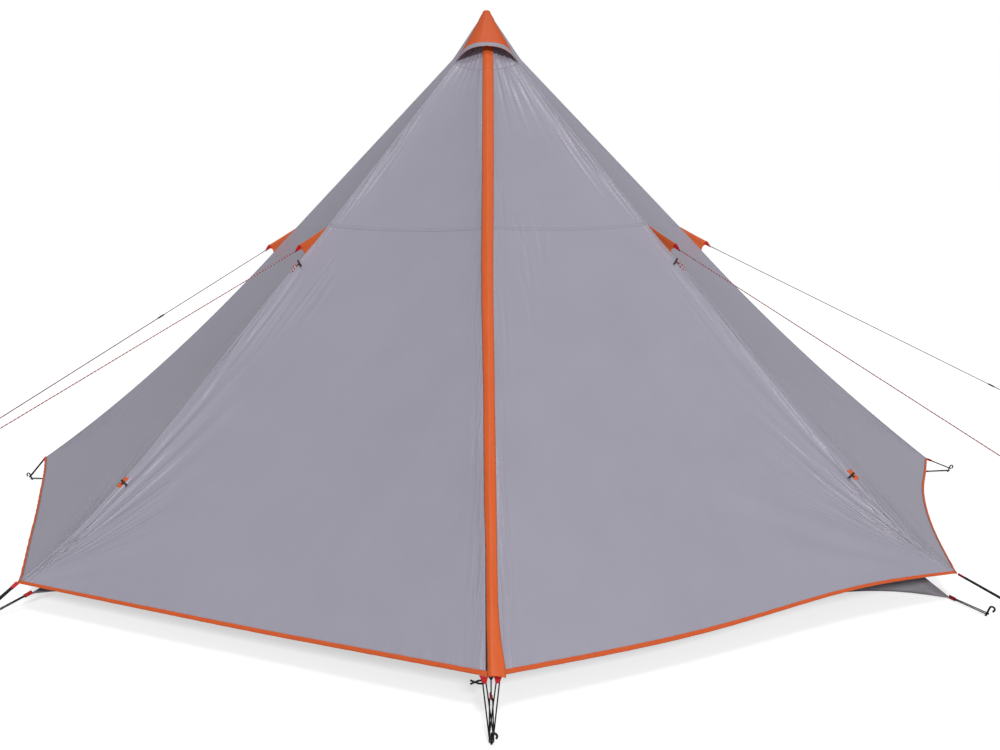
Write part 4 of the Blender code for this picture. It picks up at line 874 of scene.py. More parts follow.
def peg_frame(azimuth_deg, radius):
    """A peg's place on the ground, the way up its shank and the way out to its hook."""
    angle, lean = math.radians(azimuth_deg), math.radians(PEG_LEAN_DEG)
    away = np.array((math.cos(angle), math.sin(angle), 0.0))
    shank = away * math.sin(lean) + UP * math.cos(lean)
    hook = away * math.cos(lean) - UP * math.sin(lean)
    return away * radius, shank, hook


def on_peg(azimuth_deg, radius, level):
    ground, shank, _ = peg_frame(azimuth_deg, radius)
    return ground + shank * (level / shank[2])


def guy_middle(ridge):
    return on_peg(AZIMUTH_DEG[ridge], GUY_PEG_RADIUS[ridge], GUY_LEVEL)


def guy_pull(ridge):
    return unit(guy_middle(ridge) - ridge_point(ridge, GUY_RADIUS))


def fin_nose(ridge):
    lift = ridge_frame(ridge, FIN_ROOTS[0], FIN_ROOTS[2])[1]
    return ridge_point(ridge, GUY_RADIUS) + guy_pull(ridge) * FIN_REACH + lift * FIN_NOSE / 2


def guy_ends(ridge):
    """The line's start at the fin, the middle of its loop round the peg, and the way to the loop's near side."""
    start = fin_nose(ridge) + guy_pull(ridge) * (FIN_WEBBING + LOOP_PLAY)
    slack = GUY_LOOP_RADIUS - PEG_RADIUS - LOOP_PLAY - GUY_CORD_RADIUS
    return start, guy_middle(ridge) - guy_pull(ridge) * slack, tangent(ridge)


def runner_place(ridge):
    """The runner's middle, the way up the line, and where the line reaches its loop."""
    start, middle, side = guy_ends(ridge)
    near = middle + side * GUY_LOOP_RADIUS
    share = (RUNNER_RADIUS[ridge] - start.dot(outward(ridge))) / (near - start).dot(outward(ridge))
    return start + (near - start) * share, unit(start - near), near


def guy_route(ridge):
    start, middle, side = guy_ends(ridge)
    along = unit(middle - start)
    place, up_line, near = runner_place(ridge)
    points = [start + (near - start) * step / 12 for step in range(13)]
    for turn_deg in (70, 45, 20, 0, -20, -45, -70):
        turn = math.radians(turn_deg)
        points.append(middle + (side * math.sin(turn) + along * math.cos(turn)) * GUY_LOOP_RADIUS)
    back = middle - side * GUY_LOOP_RADIUS
    stop = place - up_line * (RUNNER_HALF_LENGTH + 0.001) - side * (2 * GUY_CORD_RADIUS + 0.0008)
    points += [back + (stop - back) * step / 12 for step in range(13)]
    return points


def knot(name, place, along, size, material):
    """An overhand knot: one closed turn and a half of cord round itself."""
    along = unit(np.asarray(along, float))
    side = unit(np.cross(along, UP if abs(along[2]) < 0.9 else np.array((1.0, 0, 0))))
    over = np.cross(along, side)
    points = []
    for step in range(25):
        t = 2 * math.pi * step / 24 * 0.97
        x, y, z = math.sin(t) + 2 * math.sin(2 * t), math.cos(t) - 2 * math.cos(2 * t), -math.sin(3 * t)
        points.append(place + (side * x * 0.28 + along * y * 0.30 + over * z * 0.42) * size)
    return tube(name, points, size * 0.36, material, 8)


def rounded_plate(name, outline, thickness, material, bevel, segments=3):
    """A plate with rounded edges, from its outline's points."""
    outline = [np.asarray(p, float) for p in outline]
    normal = unit(np.cross(outline[1] - outline[0], outline[2] - outline[0]))
    count = len(outline)
    verts = [p + normal * thickness / 2 for p in outline] + [p - normal * thickness / 2 for p in outline]
    faces = [list(range(count)), list(range(count, 2 * count))[::-1]]
    faces += [[i, i + count, (i + 1) % count + count, (i + 1) % count] for i in range(count)]
    bm = bmesh.new()
    made = [bm.verts.new(Vector(v)) for v in verts]
    for face in faces:
        bm.faces.new([made[i] for i in face])
    bmesh.ops.recalc_face_normals(bm, faces=bm.faces)
    bmesh.ops.bevel(bm, geom=list(bm.edges), offset=bevel, segments=segments, profile=0.6, affect="EDGES")
    return linked(name, mesh_of(name, bm, material))


def runner_piece(ridge):
    """A moulded runner: a rounded body with waisted sides, and a bore for its cord."""
    place, up_line, _ = runner_place(ridge)
    side = tangent(ridge)
    over = np.cross(side, up_line)
    bm = bmesh.new()
    rings = []
    for step in range(13):
        share = -1 + 2 * step / 12
        end = math.sqrt(max(0, 1 - abs(share) ** 5))
        half_side = RUNNER_HALF_WIDTH * (0.80 + 0.20 * share * share) * (0.35 + 0.65 * end)
        half_over = RUNNER_HALF_HEIGHT * (0.35 + 0.65 * end)
        ring = []
        for turn in range(16):
            angle = 2 * math.pi * turn / 16
            c, s = (math.copysign(abs(way) ** 0.6, way) for way in (math.cos(angle), math.sin(angle)))
            point = place + up_line * RUNNER_HALF_LENGTH * share + side * half_side * c + over * half_over * s
            ring.append(bm.verts.new(Vector(point)))
        rings.append(ring)
    for one, two in zip(rings, rings[1:]):
        for turn in range(16):
            bm.faces.new((one[turn], one[(turn + 1) % 16], two[(turn + 1) % 16], two[turn]))
    bm.faces.new(rings[0][::-1])
    bm.faces.new(rings[-1])
    bmesh.ops.recalc_face_normals(bm, faces=bm.faces)
    body = linked("runner_body_" + ridge, mesh_of("runner", bm, plastic))
    reach = up_line * 0.03
    bore = tube("runner_bore", [place - reach, place + reach], GUY_CORD_RADIUS + 0.0005, plastic, 12)
    cut = body.modifiers.new("bore", "BOOLEAN")
    cut.operation, cut.solver, cut.object = "DIFFERENCE", "EXACT", bore
    applied(body)
    bpy.data.objects.remove(bore, do_unlink=True)
    body.data.shade_smooth()
    body.data.set_sharp_from_angle(angle=math.radians(50))
    return body


for ridge in GUYED:
    route = np.array(guy_route(ridge))
    material = {"left": dark_braid, "right": grey_braid}.get(ridge, guy_braid)
    line = tube("guy_cord_" + ridge, route, GUY_CORD_RADIUS, material, 8)
    done(line, "tent", "guy_cord", "guyline_" + ridge)
    up_line = runner_place(ridge)[1]
    end_knot = knot("guy_knot_" + ridge, route[-1] - up_line * 0.003, up_line, 0.0034, material)
    done(end_knot, "tent", "guy_cord")
    runner = done(runner_piece(ridge), "guy_runner_" + ridge, "black_plastic", "guy_runner_" + ridge)
    runner.name = "runner_moulded_" + ridge


# The floor of the scene, which glows only where it is seen

FLOOR_HALF, FLOOR_COLOUR, FLOOR_GLOW = 60, (0.62, 0.62, 0.62), 0.6
SQUARE = ((-1, -1), (1, -1), (1, 1), (-1, 1))
floor_mesh = bpy.data.meshes.new("studio_floor")
floor_mesh.from_pydata([(x * FLOOR_HALF, y * FLOOR_HALF, 0) for x, y in SQUARE], [], [(0, 1, 2, 3)])
floor = linked("studio_floor", floor_mesh)
floor_finish, tree, shader = shader_of("studio_floor", FLOOR_COLOUR, 0.9, specular=0.0)
glow = node(tree, "Emission")
glow.inputs["Color"].default_value = (1, 1, 1, 1)
tree.links.new(math_of(tree, "MULTIPLY", only_seen(tree), FLOOR_GLOW), glow.inputs["Strength"])
both = node(tree, "AddShader")
tree.links.new(shader.outputs[0], both.inputs[0])
tree.links.new(glow.outputs[0], both.inputs[1])
tree.links.new(both.outputs[0], tree.nodes["Material Output"].inputs["Surface"])
floor_mesh.materials.append(floor_finish)


# The fly

def spaced(count, ease=0.5):
    """Shares from 0 to 1, closer together at both ends."""
    even = np.linspace(0, 1, count + 1)
    return even * (1 - ease) + (1 - np.cos(np.pi * even)) / 2 * ease


def row_radii(top, count, bottom=CORNER_RADIUS):
    """Radii from a top to the hem, closer near the peak, with three of them at the level seam."""
    even = np.linspace(0, 1, count + 1) ** 1.15
    radii = top + (bottom - top) * even
    for mark in (GUY_RADIUS - 0.004, GUY_RADIUS + 0.004, GUY_RADIUS + 0.012):
        radii[np.argmin(np.abs(radii - mark))] = mark
    return radii


PUCKER_AT_RIDGE, PUCKER_AT_LEVEL, PUCKER_AT_HEM = 0.028, 0.018, 0.022
FAN_WIDE, FAN_LONG, FAN_FROM = 0.50, 0.60, 0.20
EDGE_WIDE, EDGE_FROM, EDGE_SLANT = 0.050, 0.010, 0.06


def closeness(panel, across, radius):
    """1 at a seam, 0 away from all of them."""
    ridge = bell(np.minimum(across, 1 - across) * WIDE * radius, PUCKER_AT_RIDGE)
    level = bell(radius - level_radius(panel, across), PUCKER_AT_LEVEL)
    return np.clip(ridge + level + 0.8 * bell(radius - CORNER_RADIUS, PUCKER_AT_HEM), 0, 1)


def fold_marks(panel, across, radius):
    """The seams' closeness, the fan of folds from the nearer lower corner and the folds beside the nearer ridge."""
    across, radius = np.broadcast_arrays(across, radius)
    u, v = local(across, radius)
    corner = np.where(u < 0, -1, 1)
    away = WIDE * CORNER_RADIUS / 2 - u * corner
    angle, distance = np.arctan2(v, away), np.hypot(away, v)
    from_ridge = (math.atan2(SLOPE, WIDE / 2) - angle) / FAN_WIDE
    fan = bell(from_ridge, 1) * bell(distance, FAN_LONG) * (1 - bell(distance, FAN_FROM))
    beside = np.minimum(across, 1 - across) * WIDE * radius
    strong = 0.55 + 0.45 * np.sin(7.0 * v + 2.0 * corner + len(panel))
    at_zip = {"door_left": 1, "door_right": -1}.get(panel, 0) == corner
    fan, strong = np.where(at_zip, 0, fan), np.where(at_zip, 0.25, strong)
    edge = bell(beside, EDGE_WIDE) * (1 - bell(beside, EDGE_FROM)) * strong
    side = corner + 3.7 * (len(panel) + ord(panel[-1]) % 7)
    return {
        "seam": closeness(panel, across, radius), "fan_share": fan, "edge_share": edge,
        "fan": np.stack([angle, distance, side], -1), "edge": np.stack([beside + EDGE_SLANT * v, v, side], -1),
    }


def draw_in_ends(grid):
    """Move a grid's first and last columns in by the seam's inset."""
    grid[:, 0] += units(grid[:, 1] - grid[:, 0]) * SEAM_INSET
    grid[:, -1] += units(grid[:, -2] - grid[:, -1]) * SEAM_INSET


def fixed_cloth(name, panels, columns, rows, nodes):
    """Neighbouring panels as one cloth, their shared ridge columns taken once."""
    radii = row_radii(TIP_RADIUS, rows)[:, None]
    parts, marks = [], []
    for index, panel in enumerate(panels):
        across = spaced(columns[index])[None, :]
        radius = rows_along_seam(panel, across, radii)
        points = hung(panel, across, radius, (0, 0))
        first = min(index, 1)
        parts.append(points[:, first:])
        marks.append({key: value[:, first:] for key, value in fold_marks(panel, across, radius).items()})
    grid = np.concatenate(parts, axis=1)
    marks = {key: np.concatenate([mark[key] for mark in marks], axis=1) for key in marks[0]}
    draw_in_ends(grid)
    cloth = shell(name, grid, CLOTH, grey_cloth, marks=marks)
    done(cloth, "tent", "grey_cloth", *nodes)
    return cloth


right_cloth = fixed_cloth(
    "fly_cloth_right", ("side_right", "rear_side_right", "rear_right"), (160, 56, 56), 150,
    ("fly_panel_right_front", "fly_panel_right_rear", "fly_panel_rear_right"),
)
left_cloth = fixed_cloth(
    "fly_cloth_left", ("rear_left", "rear_side_left", "side_left"), (56, 56, 160), 150,
    ("fly_panel_rear_left", "fly_panel_left_rear", "fly_panel_left_front"),
)

ZIP_UP = unit(ridge_point("front", DOOR_TOP_FRONT) - ridge_point("front", CORNER_RADIUS))
ZIP_OVER = np.cross(tangent("front"), ZIP_UP)
ZIP_BOTTOM = ridge_point("front", CORNER_RADIUS)
ZIP_LENGTH = float(np.linalg.norm(ridge_point("front", DOOR_TOP_FRONT) - ZIP_BOTTOM))
TAPE_CLEAR, TAPE_WIDTH, TAPE_THICKNESS = 0.0004, 0.013, 0.0012


def door_plane(sign):
    """A door's outward way, the way along its hem from the zip, and the way square to the zip."""
    normal = panel_normal(*PANELS["door_right" if sign > 0 else "door_left"])
    hem = unit(np.cross(UP, normal)) * sign
    return normal, hem, unit(np.cross(ZIP_UP, normal)) * sign


def tape_edges(sign):
    """A zip tape's near and far edges, as distances from the zip's middle."""
    normal = door_plane(sign)[0]
    start = TAPE_CLEAR + TAPE_THICKNESS * abs(normal.dot(tangent("front")))
    return start, start + TAPE_WIDTH


def tape_inset(sign):
    _, hem, away = door_plane(sign)
    return (tape_edges(sign)[1] + TAPE_CLEAR) / hem.dot(away)


DOOR_COLUMNS, DOOR_ROWS = 236, 184
ROWS_TURN, ROWS_LEVEL = 0.6, 0.9


def door_cloth(side):
    """A door from its slanting top to the hem. Rows follow the top at first and are level from radius 0.9 out."""
    sign = 1 if side == "right" else -1
    panel = "door_" + side
    tops = (DOOR_TOP_FRONT, DOOR_TOP_SIDE) if sign > 0 else (DOOR_TOP_SIDE, DOOR_TOP_FRONT)
    insets = (tape_inset(1), SEAM_INSET) if sign > 0 else (SEAM_INSET, tape_inset(-1))
    across = spaced(DOOR_COLUMNS)[None, :]
    top = tops[0] + (tops[1] - tops[0]) * across
    low = row_radii(DOOR_TOP_SIDE, DOOR_ROWS)[:, None]
    shares = (low - DOOR_TOP_SIDE) / (CORNER_RADIUS - DOOR_TOP_SIDE)
    radius = np.maximum(low, top + (CORNER_RADIUS - top) * shares)
    slant = np.clip((ROWS_LEVEL - low) / (ROWS_LEVEL - ROWS_TURN), 0, 1)
    radius = np.where(radius > ROWS_TURN, low + (radius - low) * slant, radius)
    radius = rows_along_seam(panel, across, radius)
    points = hung(panel, across, radius, insets)
    cloth = shell("door_cloth_" + side, points, CLOTH, grey_cloth, marks=fold_marks(panel, across, radius))
    return done(cloth, panel, "grey_cloth", "fly_door_" + side)


for side in ("left", "right"):
    cloth = door_cloth(side)


# Sheets with openings

def thick_sheet(name, points, thickness, material, keep=None, wrap=False):
    """Cloth from a grid seen from outside, rows downwards. Keep marks the quads that stay."""
    rows, columns = points.shape[:2]
    quads = grid_faces(rows, columns, flip=True, wrap=wrap)
    if keep is not None:
        quads = quads[keep.ravel()]
    used, index = np.unique(quads, return_inverse=True)
    obj = new_object(name, points.reshape(-1, 3)[used], index.reshape(-1, 4).tolist(), material)
    solidify = obj.modifiers.new("thickness", "SOLIDIFY")
    solidify.thickness, solidify.offset, solidify.use_even_offset = thickness, -1, False
    applied(obj).data.shade_smooth()
    return obj


# Seams: felled strips over the ridges and round at the guy level, with their stitching

PANELS_BEFORE = list(PANELS)[-1:] + list(PANELS)
RIDGE_PANELS = {PANELS[panel][0]: (before, panel) for before, panel in zip(PANELS_BEFORE, PANELS)}
LAP_OFFSETS = (-0.0072, -0.0050, -0.0032, -0.0016, 0.0, 0.0014, 0.0032, 0.0050, 0.0072)
LAP_LIFTS = (0.0003, 0.0009, 0.0010, 0.0010, 0.0011, 0.0010, 0.0010, 0.0009, 0.0003)
LAP_END = CORNER_RADIUS - 0.0110
LAP_THICKNESS, LAP_TOP, LAP_GAP = 0.0008, 0.03, 0.002
SEAM_STITCH_OFF, SEAM_STITCH_LIFT, SEAM_STITCH_PITCH = 0.0046, 0.0011, 0.0075


def fitted(panel):
    """The insets of a panel as it is cut."""
    return {"door_left": (SEAM_INSET, tape_inset(-1)), "door_right": (tape_inset(1), SEAM_INSET)}.get(panel, (0, 0))


def near_ridge(panel, side, radii, off, lift):
    """Points over a panel at a distance in from its first (-1) or second (1) ridge."""
    insets = fitted(panel) if radii.min() > DOOR_TOP_SIDE else (0, 0)
    chord = WIDE * radii
    inset = insets[0] if side < 0 else insets[1]
    share = (off - inset) / (chord - sum(insets))
    across = share if side < 0 else 1 - share
    return hung(panel, across, radii, insets) + panel_normal(*PANELS[panel]) * lift


def mitre(ridge):
    before, after = RIDGE_PANELS[ridge]
    return unit(panel_normal(*PANELS[before]) + panel_normal(*PANELS[after]))


def ridge_lap(ridge, radii):
    before, after = RIDGE_PANELS[ridge]
    lines = []
    for off, lift in zip(LAP_OFFSETS, LAP_LIFTS):
        if off == 0:
            lines.append(ridge_point(ridge, radii) + mitre(ridge) * lift)
        else:
            panel, side = (before, 1) if off < 0 else (after, -1)
            lines.append(near_ridge(panel, side, radii, abs(off), lift))
    return np.stack(lines, axis=1)


def seam_line(ridge, which, radii):
    before, after = RIDGE_PANELS[ridge]
    panel, side = (before, 1) if which < 0 else (after, -1)
    return near_ridge(panel, side, radii, SEAM_STITCH_OFF, SEAM_STITCH_LIFT)


def hinge_blend(obj, ridge, radius):
    """Bakes the piece's transform into its mesh. The point that the ridge and radius give is not used."""
    middle = ridge_point(ridge, radius)
    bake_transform(obj)


DOOR_RIDGES = {"left_front": "door_left", "right_front": "door_right"}
stitch_lines = {"tent_right": [], "tent_left": [], "door_left": [], "door_right": []}
for ridge in RIDGE_PANELS:
    if ridge == "front":
        continue
    door = DOOR_RIDGES.get(ridge)
    whole = np.linspace(DOOR_TOP_SIDE + LAP_GAP if door else LAP_TOP, LAP_END, 181)
    lap = shell("seam_strip_" + ridge, ridge_lap(ridge, whole), LAP_THICKNESS, grey_cloth)
    hand = "tent_right" if outward(ridge)[0] > 0.01 or ridge == "rear" else "tent_left"
    if door:
        hinge_blend(lap, ridge, 1.2)
        top = ridge_lap(ridge, np.linspace(LAP_TOP, DOOR_TOP_SIDE - LAP_GAP, 13))
        done(shell("seam_strip_top_" + ridge, top, LAP_THICKNESS, grey_cloth), "tent", "grey_cloth")
        door_side = 1 if ridge == "left_front" else -1
        stitch_lines[door].append(seam_line(ridge, door_side, whole))
        stitch_lines[hand].append(seam_line(ridge, -door_side, whole))
    else:
        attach(lap, "tent")
        stitch_lines[hand] += [seam_line(ridge, -1, whole), seam_line(ridge, 1, whole)]

LEVEL_OFFSETS = np.array((-0.0045, -0.0025, 0.001, 0.0035, 0.0055))
LEVEL_LIFTS = np.array((0.0001, 0.0008, 0.0009, 0.0008, 0.0001))
LEVEL_END, LEVEL_ZIP_SHARE, LEVEL_THICKNESS, LEVEL_STITCH_LIFT = 0.0085, 0.002, 0.0007, 0.0010
for panel in PANELS:
    insets = fitted(panel)
    ends = [LEVEL_END / (WIDE * GUY_RADIUS)] * 2
    if panel.startswith("door"):
        ends[panel == "door_left"] = LEVEL_ZIP_SHARE
    across = np.linspace(ends[0], 1 - ends[1], 121)
    normal = panel_normal(*PANELS[panel])
    radii = level_radius(panel, across) + LEVEL_OFFSETS[:, None]
    points = hung(panel, across[None, :], radii, insets) + normal * LEVEL_LIFTS[:, None, None]
    body = panel if panel.startswith("door") else "tent"
    done(shell("level_seam_" + panel, points, LEVEL_THICKNESS, grey_cloth), body, "grey_cloth")
    key = panel if body != "tent" else ("tent_right" if "right" in panel else "tent_left")
    for row in (1, 3):
        stitch_lines[key].append(hung(panel, across, radii[row], insets) + normal * LEVEL_STITCH_LIFT)

for key, lines in stitch_lines.items():
    body = "tent" if key.startswith("tent") else key
    stitches("seam_stitches_" + key, lines, grey_thread, body, "grey_cloth", SEAM_STITCH_PITCH)


# The fixed cloth above the zip, under the hood

def peak_points():
    """The peak cloth's points. Its lower edge is tucked behind the doors' tops."""
    parts = []
    tops_of = {"door_left": (DOOR_TOP_SIDE, DOOR_TOP_FRONT), "door_right": (DOOR_TOP_FRONT, DOOR_TOP_SIDE)}
    for panel, tops in tops_of.items():
        across = np.linspace(0, 1, 49)[None, :]
        bottom = tops[0] + (tops[1] - tops[0]) * across + 0.004
        rows = np.linspace(0, 1, 41)[:, None]
        radius = TIP_RADIUS + (bottom - TIP_RADIUS) * rows
        points = hung(panel, across, radius, (0, 0))
        tuck = np.clip((radius - (bottom - 0.007)) / 0.003, 0, 1)
        points = points - panel_normal(*PANELS[panel]) * (tuck * (CLOTH + 0.0004))[..., None]
        parts.append(points if panel == "door_left" else points[:, 1:])
    return np.concatenate(parts, axis=1)


peak_cloth = done(shell("peak_cloth", peak_points(), CLOTH, grey_cloth), "tent", "grey_cloth", "fly_peak_panel")


# The storm flap. Each row gives the way up from the hem and how far its left and right edges stand off the zip.

FLAP_EDGES = (
    (-0.01, 0.0093, 0.0385), (0.03, 0.0093, 0.0366), (0.059, 0.0095, 0.0318), (0.093, 0.0105, 0.0270),
    (0.15, 0.0115, 0.0225), (0.20, 0.0117, 0.0203), (0.35, 0.0125, 0.0192), (0.50, 0.0165, 0.0195),
    (0.67, 0.0172, 0.0187), (0.86, 0.0178, 0.0178), (1.06, 0.0205, 0.0178), (1.28, 0.0235, 0.0170),
    (1.50, 0.0240, 0.0185), (1.78, 0.0220, 0.0225), (2.08, 0.0210, 0.0260), (2.55, 0.0180, 0.0290),
)
FLAP_EDGE_LIFT, FLAP_CROWN, FLAP_THICKNESS = 0.0022, 0.009, 0.0012
FLAP_TOP, FLAP_GAP, FLAP_SEWN_CROWN_SHARE = 0.125, 0.0012, 0.4
FLAP_CLOTH, FLAP_STEEP = 0.0010, 1.4


def flap_grid(places, overs, crowns, edge_lift, travelled, columns=28):
    """The flap's points round places on the zip, crowned over it and rippled."""
    side = tangent("front")
    normal = door_plane(1)[0]
    share = np.linspace(0, 1, columns + 1)[None, :]
    fall = np.array([normal.dot(side) / normal.dot(over) for over in overs])[:, None]
    ups, lefts, rights = zip(*FLAP_EDGES)
    left, right = (np.interp(travelled, ups, edge)[:, None] for edge in (lefts, rights))
    across = -left + (left + right) * share
    crown = (FLAP_CROWN - FLAP_EDGE_LIFT) * np.array(crowns)[:, None] * np.sqrt(np.maximum(0, np.sin(np.pi * share)))
    s, between = np.asarray(travelled)[:, None], np.sin(np.pi * share)
    ripple = 0.0007 * np.sin(61 * s + 3 * np.sin(9 * s)) * between + 0.0005 * np.sin(143 * s + 2 * share) * share ** 2
    ripple = ripple + 0.0006 * np.sin(23 * s + 4 * share + 1.5 * np.sin(5 * s)) * between
    ripple = np.minimum(ripple, 0.0012) * (0.3 + 0.7 * np.array(crowns)[:, None])
    high = edge_lift + crown - fall * np.abs(across) + FLAP_THICKNESS + ripple
    return places[:, None, :] + side * across[..., None] + np.stack(overs)[:, None, :] * high[..., None]


def flap_rows():
    foot = -0.0014
    marks = np.concatenate([np.linspace(foot, 0.2, 41), np.linspace(0.206, ZIP_LENGTH, 420)])[::-1]
    places = ZIP_BOTTOM + ZIP_UP * marks[:, None]
    return flap_grid(places, [ZIP_OVER] * len(marks), np.ones(len(marks)), FLAP_EDGE_LIFT, marks), marks


def flap_top_rows():
    over = ridge_frame("front", FLAP_TOP, DOOR_TOP_FRONT)[1]
    bottom = DOOR_TOP_FRONT - FLAP_GAP
    radii = np.linspace(FLAP_TOP, bottom, 26)
    share = np.clip((radii - NECK_RADIUS) / (bottom - NECK_RADIUS), 0, 1)
    crowns = share + (1 - share) * FLAP_SEWN_CROWN_SHARE
    travelled = ZIP_LENGTH + (bottom - radii) * FLAP_STEEP
    return flap_grid(ridge_point("front", radii), [over] * 26, crowns, 0.0, travelled)


flap_points, flap_marks = flap_rows()
flap = shell("storm_flap_cloth", flap_points, FLAP_CLOTH, flap_cloth)
done(flap, "door_right", "orange_tape", "zip_storm_flap")
flap_end = shell("storm_flap_top_cloth", flap_top_rows(), FLAP_CLOTH, flap_cloth)
done(flap_end, "tent", "orange_tape")
foot_row = int(np.argmin(np.abs(flap_marks - 0.016)))
lines = [flap_points[:, column] + ZIP_OVER * 0.0001 for column in (24, 21)]
lines.append(flap_points[foot_row] + ZIP_OVER * 0.0002)
flap_thread = stitches("flap_stitches", lines, orange_thread, "door_right", "orange_tape", 0.006)


# The zip

def bar_of(name, start, end, side, over, profile, material, rows=2):
    """A straight bar of a profile, given in (side, over) from the start-end line, closed at both ends."""
    places = np.linspace(start, end, rows)
    profile = np.asarray(profile, float)
    ring = side * profile[:, :1] + over * profile[:, 1:]
    verts = (places[:, None, :] + ring[None]).reshape(-1, 3)
    count = len(profile)
    faces = grid_faces(rows, count, wrap=True).tolist()
    faces += [list(range(count))[::-1], [(rows - 1) * count + i for i in range(count)]]
    travelled = np.linalg.norm(places - start, axis=1)
    uv = np.stack([np.tile(travel(profile), rows), np.repeat(travelled, count)], -1)
    obj = new_object(name, verts, faces, material, uv)
    fix_normals(obj)
    obj.data.set_sharp_from_angle(angle=math.radians(40))
    return obj


BEAD_WIDTH, BEAD_HEIGHT, BEAD_PITCH = 0.0028, 0.0016, 0.0026
BINDING_DEPTH, BINDING_WALL, BINDING_CLEAR = 0.013, 0.001, 0.0008
for side_name, sign in (("left", -1), ("right", 1)):
    normal, hem, away = door_plane(sign)
    first, last = tape_edges(sign)
    foot = (BINDING_DEPTH + last * hem.dot(ZIP_UP)) / hem.dot(away) + BINDING_CLEAR
    base = ZIP_BOTTOM + ZIP_UP * foot
    top = ridge_point("front", DOOR_TOP_FRONT)
    profile = [
        (first + 0.0006, -TAPE_THICKNESS), (first + 0.0006, 0), (last - 0.0002, 0), (last, -0.0003), (last, -0.0009),
        (last - 0.0002, -TAPE_THICKNESS),
    ]
    tape = bar_of("zip_tape_woven_" + side_name, base, top, away, normal, profile, zip_cloth)
    done(tape, "door_" + side_name, "zip_tape", "zip_tape_" + side_name)
    aside = away * (first + BEAD_WIDTH / 2)
    line = np.linspace(base + aside, top + aside, 3) + normal * BEAD_HEIGHT / 2
    halves = (BEAD_WIDTH / 2, BEAD_HEIGHT / 2, 0.0010)
    repeats(
        "zip_coil_" + side_name, [line], BEAD_PITCH, halves, tuple(away), coil, "door_" + side_name, "zip_tape",
    )


# The hem binding: a folded tape round the cloth's edge, puckered by its stitching

BINDING_FOLD = (
    (-0.0110, 0.0012), (-0.0100, 0.0014), (-0.0080, 0.0015), (-0.0045, 0.0015), (-0.0015, 0.0014), (0.0004, 0.0011),
    (0.0013, 0.0003), (0.0013, -0.0014), (0.0004, -0.0023), (-0.0030, -0.0026), (-0.0080, -0.0026), (-0.0110, -0.0025),
)
BINDING_STITCH_DOWN, BINDING_STITCH_LIFT, BINDING_CLOTH = -0.0092, 0.0018, 0.0008


def hem_normals(panels, counts):
    """The outward way at each hem column, mitred where two panels meet."""
    ways = []
    for index, (panel, count) in enumerate(zip(panels, counts)):
        way = np.tile(panel_normal(*PANELS[panel]), (count + (index == 0), 1))
        if index:
            both = panel_normal(*PANELS[panels[index - 1]]) + panel_normal(*PANELS[panel])
            ways[-1][-1] = both / both.dot(both) * 2
        ways.append(way)
    return np.concatenate(ways)


def hem_line(panels, count, down):
    """Points along the panels' hem, at a distance down the slope from it."""
    lines = []
    for index, panel in enumerate(panels):
        insets = {"door_left": (SEAM_INSET, 0.0006), "door_right": (0.0006, SEAM_INSET)}.get(panel, (0, 0))
        across = np.linspace(0, 1, count + 1)
        line = hung(panel, across, CORNER_RADIUS + down / SLOPE, insets)
        lines.append(line if index == 0 else line[1:])
    return np.concatenate(lines)


def binding_cloth(name, panels, body, node_name, count=220):
    """The folded tape round the hem of some panels. Its fold gives (down, out) from the hem."""
    ways = hem_normals(panels, [count] * len(panels))
    rows = []
    for down, out in BINDING_FOLD:
        line = hem_line(panels, count, down)
        s = np.arange(len(line)) * (PANEL_FOOT / count)
        pucker = 0.00035 * np.sin(205 * s + 2.2 * np.sin(17 * s)) + 0.00025 * np.sin(97 * s + 3 * np.sin(7 * s))
        rows.append(line + ways * (out + np.maximum(pucker, -0.0002) * (1 if out > 0 else -1))[:, None])
    points = np.stack(rows)
    if len(panels) > 1:
        draw_in_ends(points)
    travelled = np.arange(points.shape[1]) * (PANEL_FOOT / count)
    uv = np.stack(np.broadcast_arrays(travel(BINDING_FOLD)[:, None], travelled[None, :]), -1)
    done(shell(name, points, BINDING_CLOTH, binding_tape, uv), body, "orange_tape", node_name)
    line = hem_line(panels, count, BINDING_STITCH_DOWN) + ways * BINDING_STITCH_LIFT
    stitches(name + "_stitches", [line[2:-2]], orange_thread, body, "orange_tape")


FIXED_PANELS = ("side_right", "rear_side_right", "rear_right", "rear_left", "rear_side_left", "side_left")
binding_cloth("binding_tape_fixed", FIXED_PANELS, "tent", "hem_binding_fixed", 150)
for side_name in ("left", "right"):
    door = "door_" + side_name
    binding_cloth("binding_tape_" + door, (door,), door, "hem_binding_" + door)


# The hood over the peak vent

HOOD_FRONT, HOOD_LIFT, HOOD_TIP, HOOD_BACK, HOOD_SEAT = 0.172, 0.048, 0.016, 0.035, 0.0016
HOOD_BAND, HOOD_BAND_GROWS, HOOD_EDGE_LENGTH, HOOD_END = 0.021, 0.013, 0.245, 0.975
HOOD_REACH = {-1: 0.195, 1: 0.198}
HOOD_ARCH, HOOD_ROUND, HOOD_ROUND_TURN = 0.009, 0.007, 0.13
HOOD_CLOTH, HOOD_BULGE, HOOD_FOLD = 0.0016, 0.006, 0.0016
OUT_SHARE, UP_SHARE = 0.62, 0.78


def surface_height(radius, azimuth):
    """The fly's height where a circle of this radius passes, taking it as eight flat sides."""
    off_middle = (azimuth % (2 * HALF_SIDE)) - HALF_SIDE
    ridge_radius = radius * np.cos(off_middle) / math.cos(HALF_SIDE)
    return ridge_height("front", np.maximum(ridge_radius, TIP_RADIUS))


